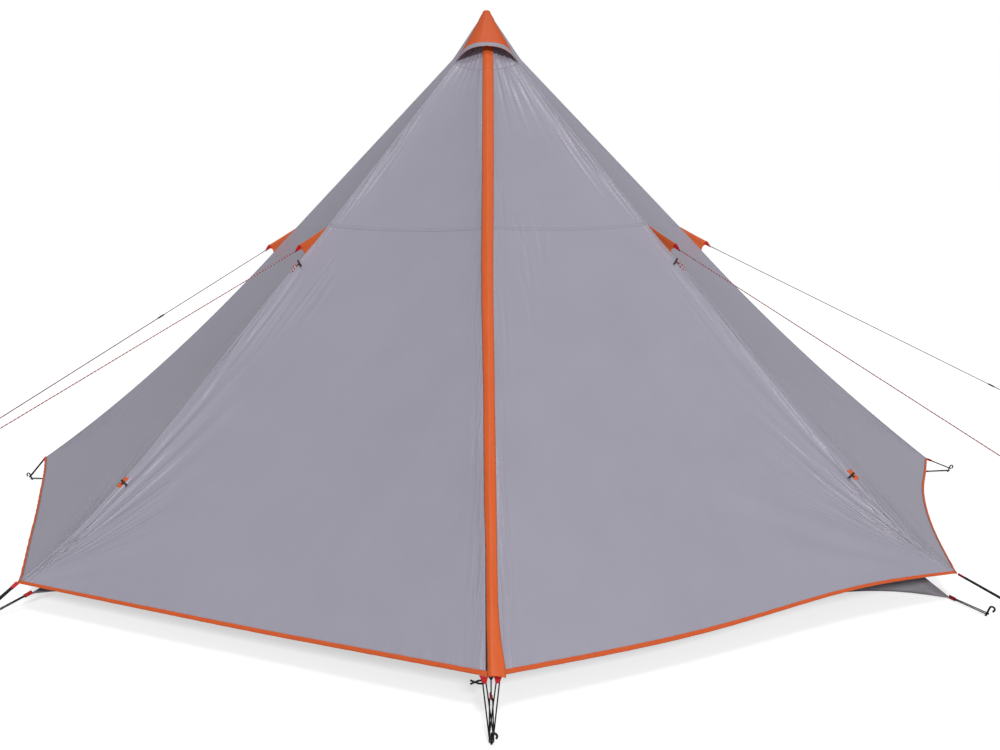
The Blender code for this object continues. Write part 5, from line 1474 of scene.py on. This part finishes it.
def hood_point(turn, share, lift=0.0):
    """Points of the hood at turns from the front, from its tip (share 0) to its arched edge (1)."""
    azimuth = math.radians(AZIMUTH_DEG["front"]) + turn
    rise = np.maximum(0, np.cos(2 * turn))
    side = np.where(np.asarray(turn) < 0, HOOD_REACH[-1], HOOD_REACH[1])
    radius = side + (HOOD_FRONT - side) * rise
    height = surface_height(radius, azimuth) + HOOD_SEAT + (HOOD_LIFT - HOOD_SEAT) * np.sin(np.pi * rise / 2)
    height = height + HOOD_ARCH * 4 * rise * (1 - rise) - HOOD_ROUND * bell(np.asarray(turn), HOOD_ROUND_TURN)
    reach = HOOD_TIP + (radius - HOOD_TIP) * share
    up = TIP_HEIGHT + HOOD_SEAT + (height - TIP_HEIGHT - HOOD_SEAT) * share
    free = np.sin(np.pi * share) * np.sin(np.pi * rise / 2)
    bulge, fold = HOOD_BULGE * free, HOOD_FOLD * free * np.cos(9 * turn + 1.1)
    away = np.stack([np.cos(azimuth) + 0 * share, np.sin(azimuth) + 0 * share, 0 * share + 0 * azimuth], -1)
    out = bulge + fold + lift + HOOD_CLOTH
    return away * (reach + out * OUT_SHARE)[..., None] + UP * (up + out * UP_SHARE)[..., None]


turns = np.linspace(-2 * HALF_SIDE, 2 * HALF_SIDE, 97)[None, :]
hood = thick_sheet("hood_cloth", hood_point(turns, np.linspace(0, HOOD_END, 49)[:, None]), HOOD_CLOTH, hood_finish)
done(hood, "tent", "orange_tape", "vent_hood")


def band_start(turn):
    """The share of the hood at which its edge band begins. The band is wider towards its ends."""
    return 1 - (HOOD_BAND + HOOD_BAND_GROWS * (1 - np.cos(2 * turn))) / HOOD_EDGE_LENGTH


band_shares = band_start(turns) + (1 - band_start(turns)) * np.linspace(0, 1, 13)[:, None]
band = thick_sheet("hood_band", hood_point(turns, band_shares, 0.0009), 0.0024, grey_band)
done(band, "tent", "grey_cloth")


def hood_back():
    """The small cap behind the hood, over the pole's tip."""
    turns = np.linspace(2 * HALF_SIDE, 2 * math.pi - 2 * HALF_SIDE, 73)[None, :]
    azimuth = math.radians(AZIMUTH_DEG["front"]) + turns
    share = np.linspace(0, 1, 7)[:, None]
    low = surface_height(np.full_like(azimuth, HOOD_BACK), azimuth) + HOOD_SEAT
    reach = HOOD_TIP + (HOOD_BACK - HOOD_TIP) * share
    up = TIP_HEIGHT + HOOD_SEAT + (low - TIP_HEIGHT - HOOD_SEAT) * share
    away = np.stack([np.cos(azimuth), np.sin(azimuth), 0 * azimuth], -1)
    out = HOOD_CLOTH
    return away * (reach + out * OUT_SHARE)[..., None] + UP * (up + out * UP_SHARE)[..., None]


def tip_dome():
    """The rounded nub over the pole's tip."""
    rows = np.radians(np.linspace(4, 96, 12))[:, None]
    turns = np.linspace(0, 2 * math.pi, 49)[None, :-1]
    reach, rise = HOOD_TIP + 0.0022, 0.011
    flat = np.stack([np.cos(turns) + 0 * rows, np.sin(turns) + 0 * rows, 0 * turns + 0 * rows], -1)
    up = TIP_HEIGHT + HOOD_SEAT - 0.001 + rise * np.cos(rows)
    return flat * (reach * np.sin(rows))[..., None] + UP * up[..., None]


cap = done(thick_sheet("hood_back_cap", hood_back(), HOOD_CLOTH, hood_finish), "tent", "orange_tape")
dome = done(thick_sheet("hood_tip_cap", tip_dome(), 0.0012, hood_finish, wrap=True), "tent", "orange_tape")
edge_turns = np.linspace(-2 * HALF_SIDE + 0.02, 2 * HALF_SIDE - 0.02, 97)
edge_line = hood_point(edge_turns, np.full(97, 1.0), -0.0004)
piping = tube("hood_edge_piping", edge_line, 0.0017, pink_band, 8)
done(piping, "tent", "grey_cloth")
lines = [hood_point(edge_turns, shares, 0.0012) for shares in (band_start(edge_turns) + 0.008, np.full(97, HOOD_END))]
stitches("hood_stitches", lines, grey_thread, "tent", "grey_cloth")


# Guy fins, each a patch sewn on the ridge, with a folded webbing at its nose

def bowed(start, end, inwards, depth, steps=8):
    """Points from start to end, drawn in between them."""
    share = np.linspace(0, 1, steps + 1)[1:-1, None]
    return list(start + (end - start) * share + inwards * depth * 4 * share * (1 - share))


FIN_CLOTH_ROOTS, FIN_CLOTH_NOSE, FIN_RISE = (0.910, 0.955, 1.026), 0.018, 0.005
FIN_LOW_BOW, FIN_HIGH_BOW = 0.007, 0.002
WEBBING_BACK, WEBBING_FORE, WEBBING_HALF = 0.010, 0.004, 0.0088

for ridge in GUYED:
    roots = [ridge_point(ridge, radius) for radius in FIN_CLOTH_ROOTS]
    nose, tip = fin_nose(ridge) + UP * FIN_RISE + guy_pull(ridge) * FIN_RISE / 2, guy_ends(ridge)[0]
    pull = unit(tip - nose)
    across = unit(np.cross(tangent(ridge), pull))
    low, high = nose - across * FIN_CLOTH_NOSE / 2, nose + across * FIN_CLOTH_NOSE / 2
    if np.linalg.norm(low - roots[2]) > np.linalg.norm(high - roots[2]):
        low, high = high, low
        across = -across
    centre = (roots[1] + nose) / 2
    outline = [*roots, *bowed(roots[2], low, unit(centre - (roots[2] + low) / 2), FIN_LOW_BOW), low, high]
    outline += bowed(high, roots[0], unit(centre - (roots[0] + high) / 2), FIN_HIGH_BOW)
    patch = rounded_plate("fin_cloth_" + ridge, outline, 0.0015, orange_cloth, 0.0004, 2)
    done(patch, "tent", "orange_tape", "guy_fin_" + ridge)
    back, fore = (nose - pull * WEBBING_BACK, WEBBING_HALF), (nose + pull * WEBBING_FORE, FIN_CLOTH_NOSE * 0.42)
    half = (back, fore, (tip, FIN_NOSE * 0.26))
    ends = [place - across * wide for place, wide in half] + [place + across * wide for place, wide in half[::-1]]
    loop = rounded_plate("fin_webbing_" + ridge, ends, 0.0034, red_webbing, 0.0009)
    done(loop, "tent", "red_webbing")
    done(knot("fin_knot_" + ridge, tip + pull * 0.004, pull, 0.0044, dark_braid), "tent", "guy_cord")
    inner = [roots[0] + (centre - roots[0]) * 0.12, roots[2] + (centre - roots[2]) * 0.12]
    side = tangent(ridge) * 0.0010
    stop, aside = nose - pull * 0.016, across * 0.004
    lines = []
    for way in (side, -side):
        lines.append(np.linspace(inner[0], stop + aside, 5) + way)
        lines.append(np.linspace(inner[1], stop - aside, 5) + way)
    stitches("fin_stitches_" + ridge, lines, orange_thread, "tent", "orange_tape")


# Corner ties

TAB_LENGTH, TAB_TOP_WIDTH, TAB_LOW_WIDTH, TAB_THICKNESS = 0.022, 0.024, 0.012, 0.0024
LOOP_RADIUS, LOOP_SPREAD, LOOP_ROOT = 0.0018, 0.0042, 0.003
STRAP_LOOP_RADIUS = {
    "fly_tie_left_front": 0.0034, "fly_tie_right_front": 0.0022, "fly_tie_left": 0.0030, "fly_tie_right": 0.0028,
}
TAB_ROLL_DEG, TAB_ROLLED_DEG = 52, {"inner_tie_front": 58, "inner_tie_right_front": 90}
TAB_NEARER = {"fly_tie_left_front": 0.003, "fly_tie_right_front": -0.0015}
FRONT_TIE_OFFSET = 0.019
INNER_TIE_LEVEL, FLY_TIE_LEVEL, SECOND_TIE_LEVEL = 0.009, 0.021, 0.028
FLOOR_RADIUS, FLOOR_CUT, FRONT_SET_BACK = 2.115, 0.165, 0.115
TUB_HEIGHT, TUB_LEAN, TUB_TOP_CUT = 0.10, 0.135, 0.09


def round_peg(start, middle, thick):
    """An elastic's route from its tab, round the peg and back."""
    along = unit(middle - start)
    side = unit(np.cross(along, UP))
    bend = PEG_RADIUS + LOOP_PLAY + thick
    near, far = start + side * LOOP_SPREAD, start - side * LOOP_SPREAD
    points = [near - along * LOOP_ROOT, near]
    points += [near + (middle + side * bend - near) * share for share in (0.25, 0.5, 0.75)]
    for turn_deg in range(90, -91, -15):
        turn = math.radians(turn_deg)
        points.append(middle + (side * math.sin(turn) + along * math.cos(turn)) * bend)
    points += [far + (middle - side * bend - far) * share for share in (0.75, 0.5, 0.25)]
    return points + [far, far - along * LOOP_ROOT]


def tie_pieces(name, corner, azimuth_deg, radius, level, body, node_name=None, seam=None):
    """A webbing tab at a corner and its elastic round the peg. A tab on a seam is wide there and lies along it."""
    middle = on_peg(azimuth_deg, radius, level)
    along = unit(middle - corner)
    thick = STRAP_LOOP_RADIUS.get(name, LOOP_RADIUS)
    low = corner + along * TAB_LENGTH
    waist = corner + along * TAB_LENGTH * 0.55
    if seam is None:
        side = unit(np.cross(along, UP))
        roll = math.radians(TAB_ROLLED_DEG.get(name, TAB_ROLL_DEG))
        side = side * math.cos(roll) + np.cross(side, along) * math.sin(roll)
        wide, waist_share = TAB_LOW_WIDTH * 1.1, 0.34 * 1.4
        corner = corner - along * TAB_NEARER.get(name, 0.004)
    else:
        side, wide, waist_share = seam, TAB_TOP_WIDTH, 0.34
    outline = [
        corner - side * wide / 2, corner + side * wide / 2, waist + side * wide * waist_share,
        low + side * TAB_LOW_WIDTH / 2, low - side * TAB_LOW_WIDTH / 2, waist - side * wide * waist_share,
    ]
    tab = rounded_plate(name + "_tab", outline, TAB_THICKNESS, red_webbing, 0.0007)
    done(tab, body, "red_webbing", *([node_name] if node_name else []))
    loop = tube(name + "_elastic", round_peg(low, middle, thick), thick, elastic, 10)
    done(loop, body, None)


def below_hem(ridge, aside=0.0):
    """Where a tie's tab is sewn, at the corner's binding or aside from it along the hem."""
    down = ridge_frame(ridge, GUY_RADIUS, CORNER_RADIUS)[0]
    lowest = ridge_point(ridge, CORNER_RADIUS) + tangent(ridge) * aside
    lowest = lowest - outward(ridge) * math.tan(HALF_SIDE) * abs(aside)
    return lowest + down * (BINDING_WALL + BINDING_CLEAR + TAB_THICKNESS / 5)


FLOOR_PULL = {
    "left_front": (0.004, 0.046), "right_front": (0.026, 0.004), "front": (-0.032, 0.0), "right": (0.076, 0.0),
}


def floor_corner(ridge):
    """Where the floor's tab is sewn. The ties pull some corners outwards and up."""
    out, up = FLOOR_PULL.get(ridge, (0, 0))
    return outward(ridge) * (FLOOR_RADIUS + out - TUB_LEAN * LOOP_SPREAD / TUB_HEIGHT) + UP * (LOOP_SPREAD + up)


for ridge, reach in TIE_REACH.items():
    azimuth_deg, radius = AZIMUTH_DEG[ridge], CORNER_RADIUS + reach
    if ridge == "front":
        for side_name, aside, level in (("left", -1, FLY_TIE_LEVEL), ("right", 1, SECOND_TIE_LEVEL)):
            seam = unit(ridge_point("front", CORNER_RADIUS) - ridge_point(side_name + "_front", CORNER_RADIUS))
            tie_pieces(
                "front_tie_" + side_name, below_hem("front", aside * FRONT_TIE_OFFSET), azimuth_deg, radius, level,
                "door_" + side_name, "corner_tie_front_" + side_name, seam,
            )
    else:
        name, node_name = "fly_tie_" + ridge, "corner_tie_" + ridge
        tie_pieces(name, below_hem(ridge), azimuth_deg, radius, FLY_TIE_LEVEL, "tent", node_name)
    if ridge == "right_front":
        azimuth_deg, radius = azimuth_deg + INNER_PEG_TURN_DEG, INNER_PEG_RADIUS
    tie_pieces("inner_tie_" + ridge, floor_corner(ridge), azimuth_deg, radius, INNER_TIE_LEVEL, "tent")


# The knot of the front tie's left half, with its two ends

BOW_ROOT = np.array([0.001, -0.006, -0.011])
BOW_END = ((0.0, 0.003), (-0.013, 0.0024), (-0.024, -0.0020), (-0.034, -0.0066))
root = below_hem("front", -FRONT_TIE_OFFSET) + BOW_ROOT
for end_name, way, ahead in (("upper", 1, 0.0), ("lower", -1, 0.0054)):
    points = root + np.array([(aside, 0, up * way) for aside, up in BOW_END])
    done(tube("front_tie_end_" + end_name, points - (0, ahead, 0), 0.0025, elastic, 10), "door_left", None)
done(knot("front_tie_knot", root - (0, 0.002, 0), np.array([-1.0, 0, 0]), 0.0036, elastic), "door_left", None)


# The front inner tie's strand, from the tub's drawn-in corner to its tab

tab = floor_corner("front")
strand = [tab - outward("front") * (FRONT_SET_BACK + LOOP_ROOT + 0.0025), tab + outward("front") * LOOP_ROOT]
done(tube("inner_tie_front_strand", np.linspace(*strand, 6), LOOP_RADIUS, elastic, 10), "tent", None)


# Pegs

PEG_BURIED, PEG_SHANK, PEG_HOOK, PEG_HOOK_TIP, PEG_HOOK_TURN_DEG = 0.165, 0.032, 0.0072, 0.007, 195
PEG_TURNED_DEG = {"corner_peg_front": 70}


def peg_piece(name, azimuth_deg, radius):
    """A round peg with its point in the ground and its end bent over into a hook."""
    ground, shank, hook = peg_frame(azimuth_deg, radius)
    turn = math.radians(PEG_TURNED_DEG.get(name, 0))
    hook = hook * math.cos(turn) + np.cross(shank, hook) * math.sin(turn)
    centre = ground + shank * PEG_SHANK + hook * PEG_HOOK
    points = [ground - shank * (PEG_BURIED - step) for step in (0, 0.004, 0.012)] + [ground - shank * 0.05, ground]
    radii = [0.0008, 0.0022, PEG_RADIUS, PEG_RADIUS, PEG_RADIUS]
    turns = np.radians(np.linspace(0, PEG_HOOK_TURN_DEG, 19))
    for turn in turns:
        points.append(centre - hook * PEG_HOOK * math.cos(turn) + shank * PEG_HOOK * math.sin(turn))
    tip = hook * math.sin(turns[-1]) + shank * math.cos(turns[-1])
    points += [points[-1] + tip * PEG_HOOK_TIP * share for share in (0.5, 0.86, 0.96, 1.0)]
    radii += [PEG_RADIUS] * 20 + [PEG_RADIUS * share for share in (0.97, 0.75, 0.4)]
    return done(tube(name + "_rod", points, PEG_RADIUS, steel, 12, radii=radii), "tent", "black_steel", name)


for ridge, reach in TIE_REACH.items():
    peg_piece("corner_peg_" + ridge, AZIMUTH_DEG[ridge], CORNER_RADIUS + reach)
peg_piece("inner_peg_right_front", AZIMUTH_DEG["right_front"] + INNER_PEG_TURN_DEG, INNER_PEG_RADIUS)
for ridge in GUYED:
    peg_piece("guy_peg_" + ridge, AZIMUTH_DEG[ridge], GUY_PEG_RADIUS[ridge])


# Toggles

TOGGLE_RADII = {"upper": 1.06, "lower": 1.797}
TOGGLE_TURN_DEG = {"upper": 28, "lower": 10}
TOGGLE_LENGTH, TOGGLE_RADIUS, TOGGLE_STANDS, TOGGLE_ASIDE, TOGGLE_STRAP = 0.038, 0.0035, 0.007, 0.002, 0.010
STRAP_THICKNESS, STRAP_WIDTH = 0.002, 0.006
TOGGLE_HALF = ((0, 0.84), (0.12, 0.86), (0.4, 0.96), (0.7, 1.0), (0.88, 0.99), (0.95, 0.86), (0.985, 0.68), (1, 0.45))
TOGGLE_PROFILE = [(-share, thick) for share, thick in TOGGLE_HALF[:0:-1]] + list(TOGGLE_HALF)
TOGGLE_LOOP_MIDDLE, TOGGLE_LOOP_LONG, TOGGLE_LOOP_WIDE = 0.030, 0.021, 0.0062
PATCH_OFFSETS = (-0.016, -0.012, -0.008, -0.004, 0.0, 0.0014, 0.005, 0.009, 0.013, 0.017)


def toggle_place(level, side_name):
    """The strap's root, the toggle's middle and way, and the ways off the ridge, down it and over the door."""
    ridge, radius = side_name + "_front", TOGGLE_RADII[level]
    down, lift = ridge_frame(ridge, radius, radius + TOGGLE_LENGTH)
    side = tangent(ridge) * (1 if side_name == "left" else -1)
    out = unit(side - lift * math.tan(HALF_SIDE) * lift.dot(outward(ridge)))
    turn = math.radians(TOGGLE_TURN_DEG[level])
    way = out * math.cos(turn) + down * math.sin(turn)
    seam = ridge_point(ridge, radius)
    middle = seam + lift * TOGGLE_STANDS + out * (TOGGLE_ASIDE + TOGGLE_LENGTH / 2 * math.cos(turn))
    root = seam + lift * 0.0004 + out * (TOGGLE_ASIDE + STRAP_WIDTH / 2) + down * TOGGLE_STRAP
    return root, middle, way, lift, down, out


def toggle_pieces(level, side_name):
    """A toggle on its strap, and the cord loop on the door that the upper one catches."""
    root, middle, way, lift, down, out = toggle_place(level, side_name)
    which = level + "_" + side_name
    body = "toggle_" + which
    shares, thick = np.array(TOGGLE_PROFILE).T
    line = middle + way * shares[:, None] * TOGGLE_LENGTH / 2
    bar = tube("toggle_bar_" + which, line, TOGGLE_RADIUS, plastic, 16, radii=TOGGLE_RADIUS * thick)
    done(bar, body, "black_plastic", body)
    share = np.linspace(0, 1, 9)[:, None]
    line = root + (middle - root) * share + lift * 0.0016 * np.sin(np.pi * share)
    along = unit(middle - root)
    side = unit(np.cross(lift, along))
    over = np.cross(along, side)
    finish = elastic if level == "lower" else red_webbing
    ways = ([side] * 9, [over] * 9)
    strap = ribbon("toggle_strap_" + which, line, *ways, STRAP_WIDTH, STRAP_THICKNESS * 0.8, finish)
    done(strap, body, "black_plastic")
    if level == "upper":
        points = []
        seat = ridge_point(side_name + "_front", TOGGLE_RADII[level]) + out * 0.004
        for step in range(33):
            angle = 2 * math.pi * step / 32 * 0.93 + 0.22
            low = TOGGLE_LOOP_MIDDLE - TOGGLE_LOOP_LONG * math.cos(angle)
            aside, high = TOGGLE_LOOP_WIDE * math.sin(angle), 0.0026 - 0.0022 * low / 0.05
            points.append(seat + down * low + out * aside + lift * high)
        done(tube("toggle_loop_" + side_name, points, 0.0016, guy_braid, 8), "door_" + side_name, "guy_cord")


for level in TOGGLE_RADII:
    for side_name in ("left", "right"):
        toggle_pieces(level, side_name)
for side_name in ("left", "right"):
    ridge, door = side_name + "_front", "door_" + side_name
    radii = np.linspace(1.784, 1.815, 9)
    before, after = RIDGE_PANELS[ridge]
    lines = []
    for off in PATCH_OFFSETS:
        if off == 0:
            lines.append(ridge_point(ridge, radii) + mitre(ridge) * 0.0019)
        else:
            panel, side = (before, 1) if off < 0 else (after, -1)
            lines.append(near_ridge(panel, side, radii, abs(off), 0.0018 if abs(off) < 0.009 else 0.0011))
    patch = shell("toggle_patch_" + side_name, np.stack(lines, axis=1), 0.0007, orange_cloth)
    hinge_blend(patch, ridge, 1.8)


# The inner tent

TUB_STEPS, TUB_CURVE = 40, 6
FLOOR_PULL_REACH, FLOOR_LIFT_SHARE, FLOOR_EDGE_HEIGHT, FLOOR_HEIGHT = 0.45, 0.12, 0.0008, 0.0006
CORNERS = list(AZIMUTH_DEG)[:-1]


def tub_ring(radius, height, cut, set_back):
    """Places round the tub at a corner radius, with each side drawn in between its corners."""
    share = np.arange(TUB_STEPS)[:, None] / TUB_STEPS
    drawn = cut * (1 - abs(1 - 2 * share) ** TUB_CURVE)
    parts = []
    for ridge, following in zip(CORNERS, CORNERS[1:] + CORNERS[:1]):
        one, two = (outward(name) * (radius - (set_back if name == "front" else 0)) for name in (ridge, following))
        parts.append(one + (two - one) * share - unit(one + two) * drawn + UP * height)
    return np.concatenate(parts)


def tub_points():
    """The tub from the rim down its wall, round its foot and in to the middle."""
    rings = []
    for share in np.linspace(1, 0, 13):
        lean = FLOOR_RADIUS - TUB_LEAN * share
        cut = FLOOR_CUT + (TUB_TOP_CUT - FLOOR_CUT) * share
        ring = tub_ring(lean, max(FLOOR_EDGE_HEIGHT, TUB_HEIGHT * share), cut, FRONT_SET_BACK)
        for index, ridge in enumerate(CORNERS):
            out, up = FLOOR_PULL.get(ridge, (0, 0)) if ridge != "front" else (0, 0)
            off = (np.arange(len(ring)) - index * TUB_STEPS + len(ring) / 2) % len(ring) - len(ring) / 2
            near = np.clip(1 - np.abs(off) / TUB_STEPS / FLOOR_PULL_REACH, 0, 1)[:, None] ** 2 * (1 - share)
            ring = ring + near * (outward(ridge) * out + UP * up)
        count = np.arange(len(ring))
        corner = np.abs((count / TUB_STEPS + 0.5) % 1 - 0.5) * 2
        sag = 0.004 * np.sin(np.pi * share) * np.sin(count * 0.9 + 5 * share) * np.minimum(1, corner * 3)
        rings.append(ring + units(ring * (1, 1, 0)) * (sag - 0.0035 * np.sin(np.pi * share))[:, None])
    for share in (0.985, 0.95, 0.85, 0.65, 0.4, 0.2, 0.06, 0.01):
        raised = np.maximum(0, rings[12][:, 2:] - FLOOR_EDGE_HEIGHT) * max(0, 1 - (1 - share) / FLOOR_LIFT_SHARE)
        rings.append(rings[12] * (share, share, 0) + UP * (FLOOR_HEIGHT + raised))
    return np.stack(rings)


floor_sheet = thick_sheet("inner_floor_cloth", tub_points(), 0.0010, floor_cloth, wrap=True)
done(floor_sheet, "tent", "floor_cloth", "inner_floor")

DOORWAY_SILL, DOORWAY_HEAD, INNER_PEAK, DOORWAY_JAMB_SHARE = 0.22, 1.42, 1.90, 0.22
INNER_DROP, MESH_THICKNESS = 0.10, 0.0015


def fly_radius(height):
    """The guyed ridges' radius at a height, without their hollow."""
    heights = (TIP_HEIGHT, NECK_HEIGHT, GUY_HEIGHT, HEM_HEIGHT)
    radii = (TIP_RADIUS, NECK_RADIUS, GUY_RADIUS, CORNER_RADIUS)
    return float(np.interp(-height, [-high for high in heights], radii))


def canopy_points():
    """Rings from the pole's collar down to the tub's rim, kept inside the fly, and their heights."""
    low_radius = FLOOR_RADIUS - TUB_LEAN - 0.00125
    low = TUB_HEIGHT + MESH_THICKNESS + 0.0004
    collar = (0.0125 + 0.0004 + MESH_THICKNESS) / math.cos(HALF_SIDE)
    marks = []
    for height in (low, DOORWAY_SILL, (DOORWAY_SILL + DOORWAY_HEAD) / 2, DOORWAY_HEAD, INNER_PEAK):
        rise = (height - low) / (INNER_PEAK - low)
        radius = low_radius + (collar - low_radius) * rise
        marks.append((height, min(radius, fly_radius(height + INNER_DROP)) if 0 < rise < 1 else radius))
    steps = [np.linspace(one[0], two[0], 12, endpoint=False) for one, two in zip(marks, marks[1:])]
    heights = np.concatenate(steps + [[INNER_PEAK]])
    rings = []
    for height in heights[::-1]:
        rise = (height - low) / (INNER_PEAK - low)
        radius = float(np.interp(height, [m[0] for m in marks], [m[1] for m in marks]))
        ring = tub_ring(radius, height, TUB_TOP_CUT * (1 - rise), FRONT_SET_BACK * (1 - rise))
        count = np.arange(len(ring))
        between = np.sin(np.pi * ((count / TUB_STEPS) % 1))
        droop = (0.012 + 0.0015 * np.sin(count * 0.7 + 9 * height)) * between * np.sin(np.pi * rise)
        rings.append(ring - units(ring * (1, 1, 0), 1e-6) * droop[:, None])
    return np.stack(rings), heights[::-1]


canopy_grid, canopy_heights = canopy_points()
rows, columns = canopy_grid.shape[:2]
middle_heights = (canopy_heights[:-1] + canopy_heights[1:]) / 2
column_share = (np.arange(columns) % TUB_STEPS + 0.5) / TUB_STEPS
column_side = np.arange(columns) // TUB_STEPS
in_door = (column_side == 0) & (column_share < 1 - DOORWAY_JAMB_SHARE)
in_door |= (column_side == 7) & (column_share > DOORWAY_JAMB_SHARE)
open_rows = (middle_heights > DOORWAY_SILL) & (middle_heights < DOORWAY_HEAD)
keep = ~(open_rows[:, None] & in_door[None, :])
canopy = thick_sheet("inner_canopy_net", canopy_grid, 0.0008, mesh_cloth, keep=keep, wrap=True)
done(canopy, "tent", "inner_mesh", "inner_canopy")


# Finishes of the solids that stay

for name, material in (
    ("pole_foot", foot_rubber), ("pole_lower_section", aluminium), ("pole_upper_section", aluminium),
    ("zip_slider", enamel),
):
    for place in bpy.data.objects[name].material_slots:
        place.material = material

bpy.context.view_layer.update()
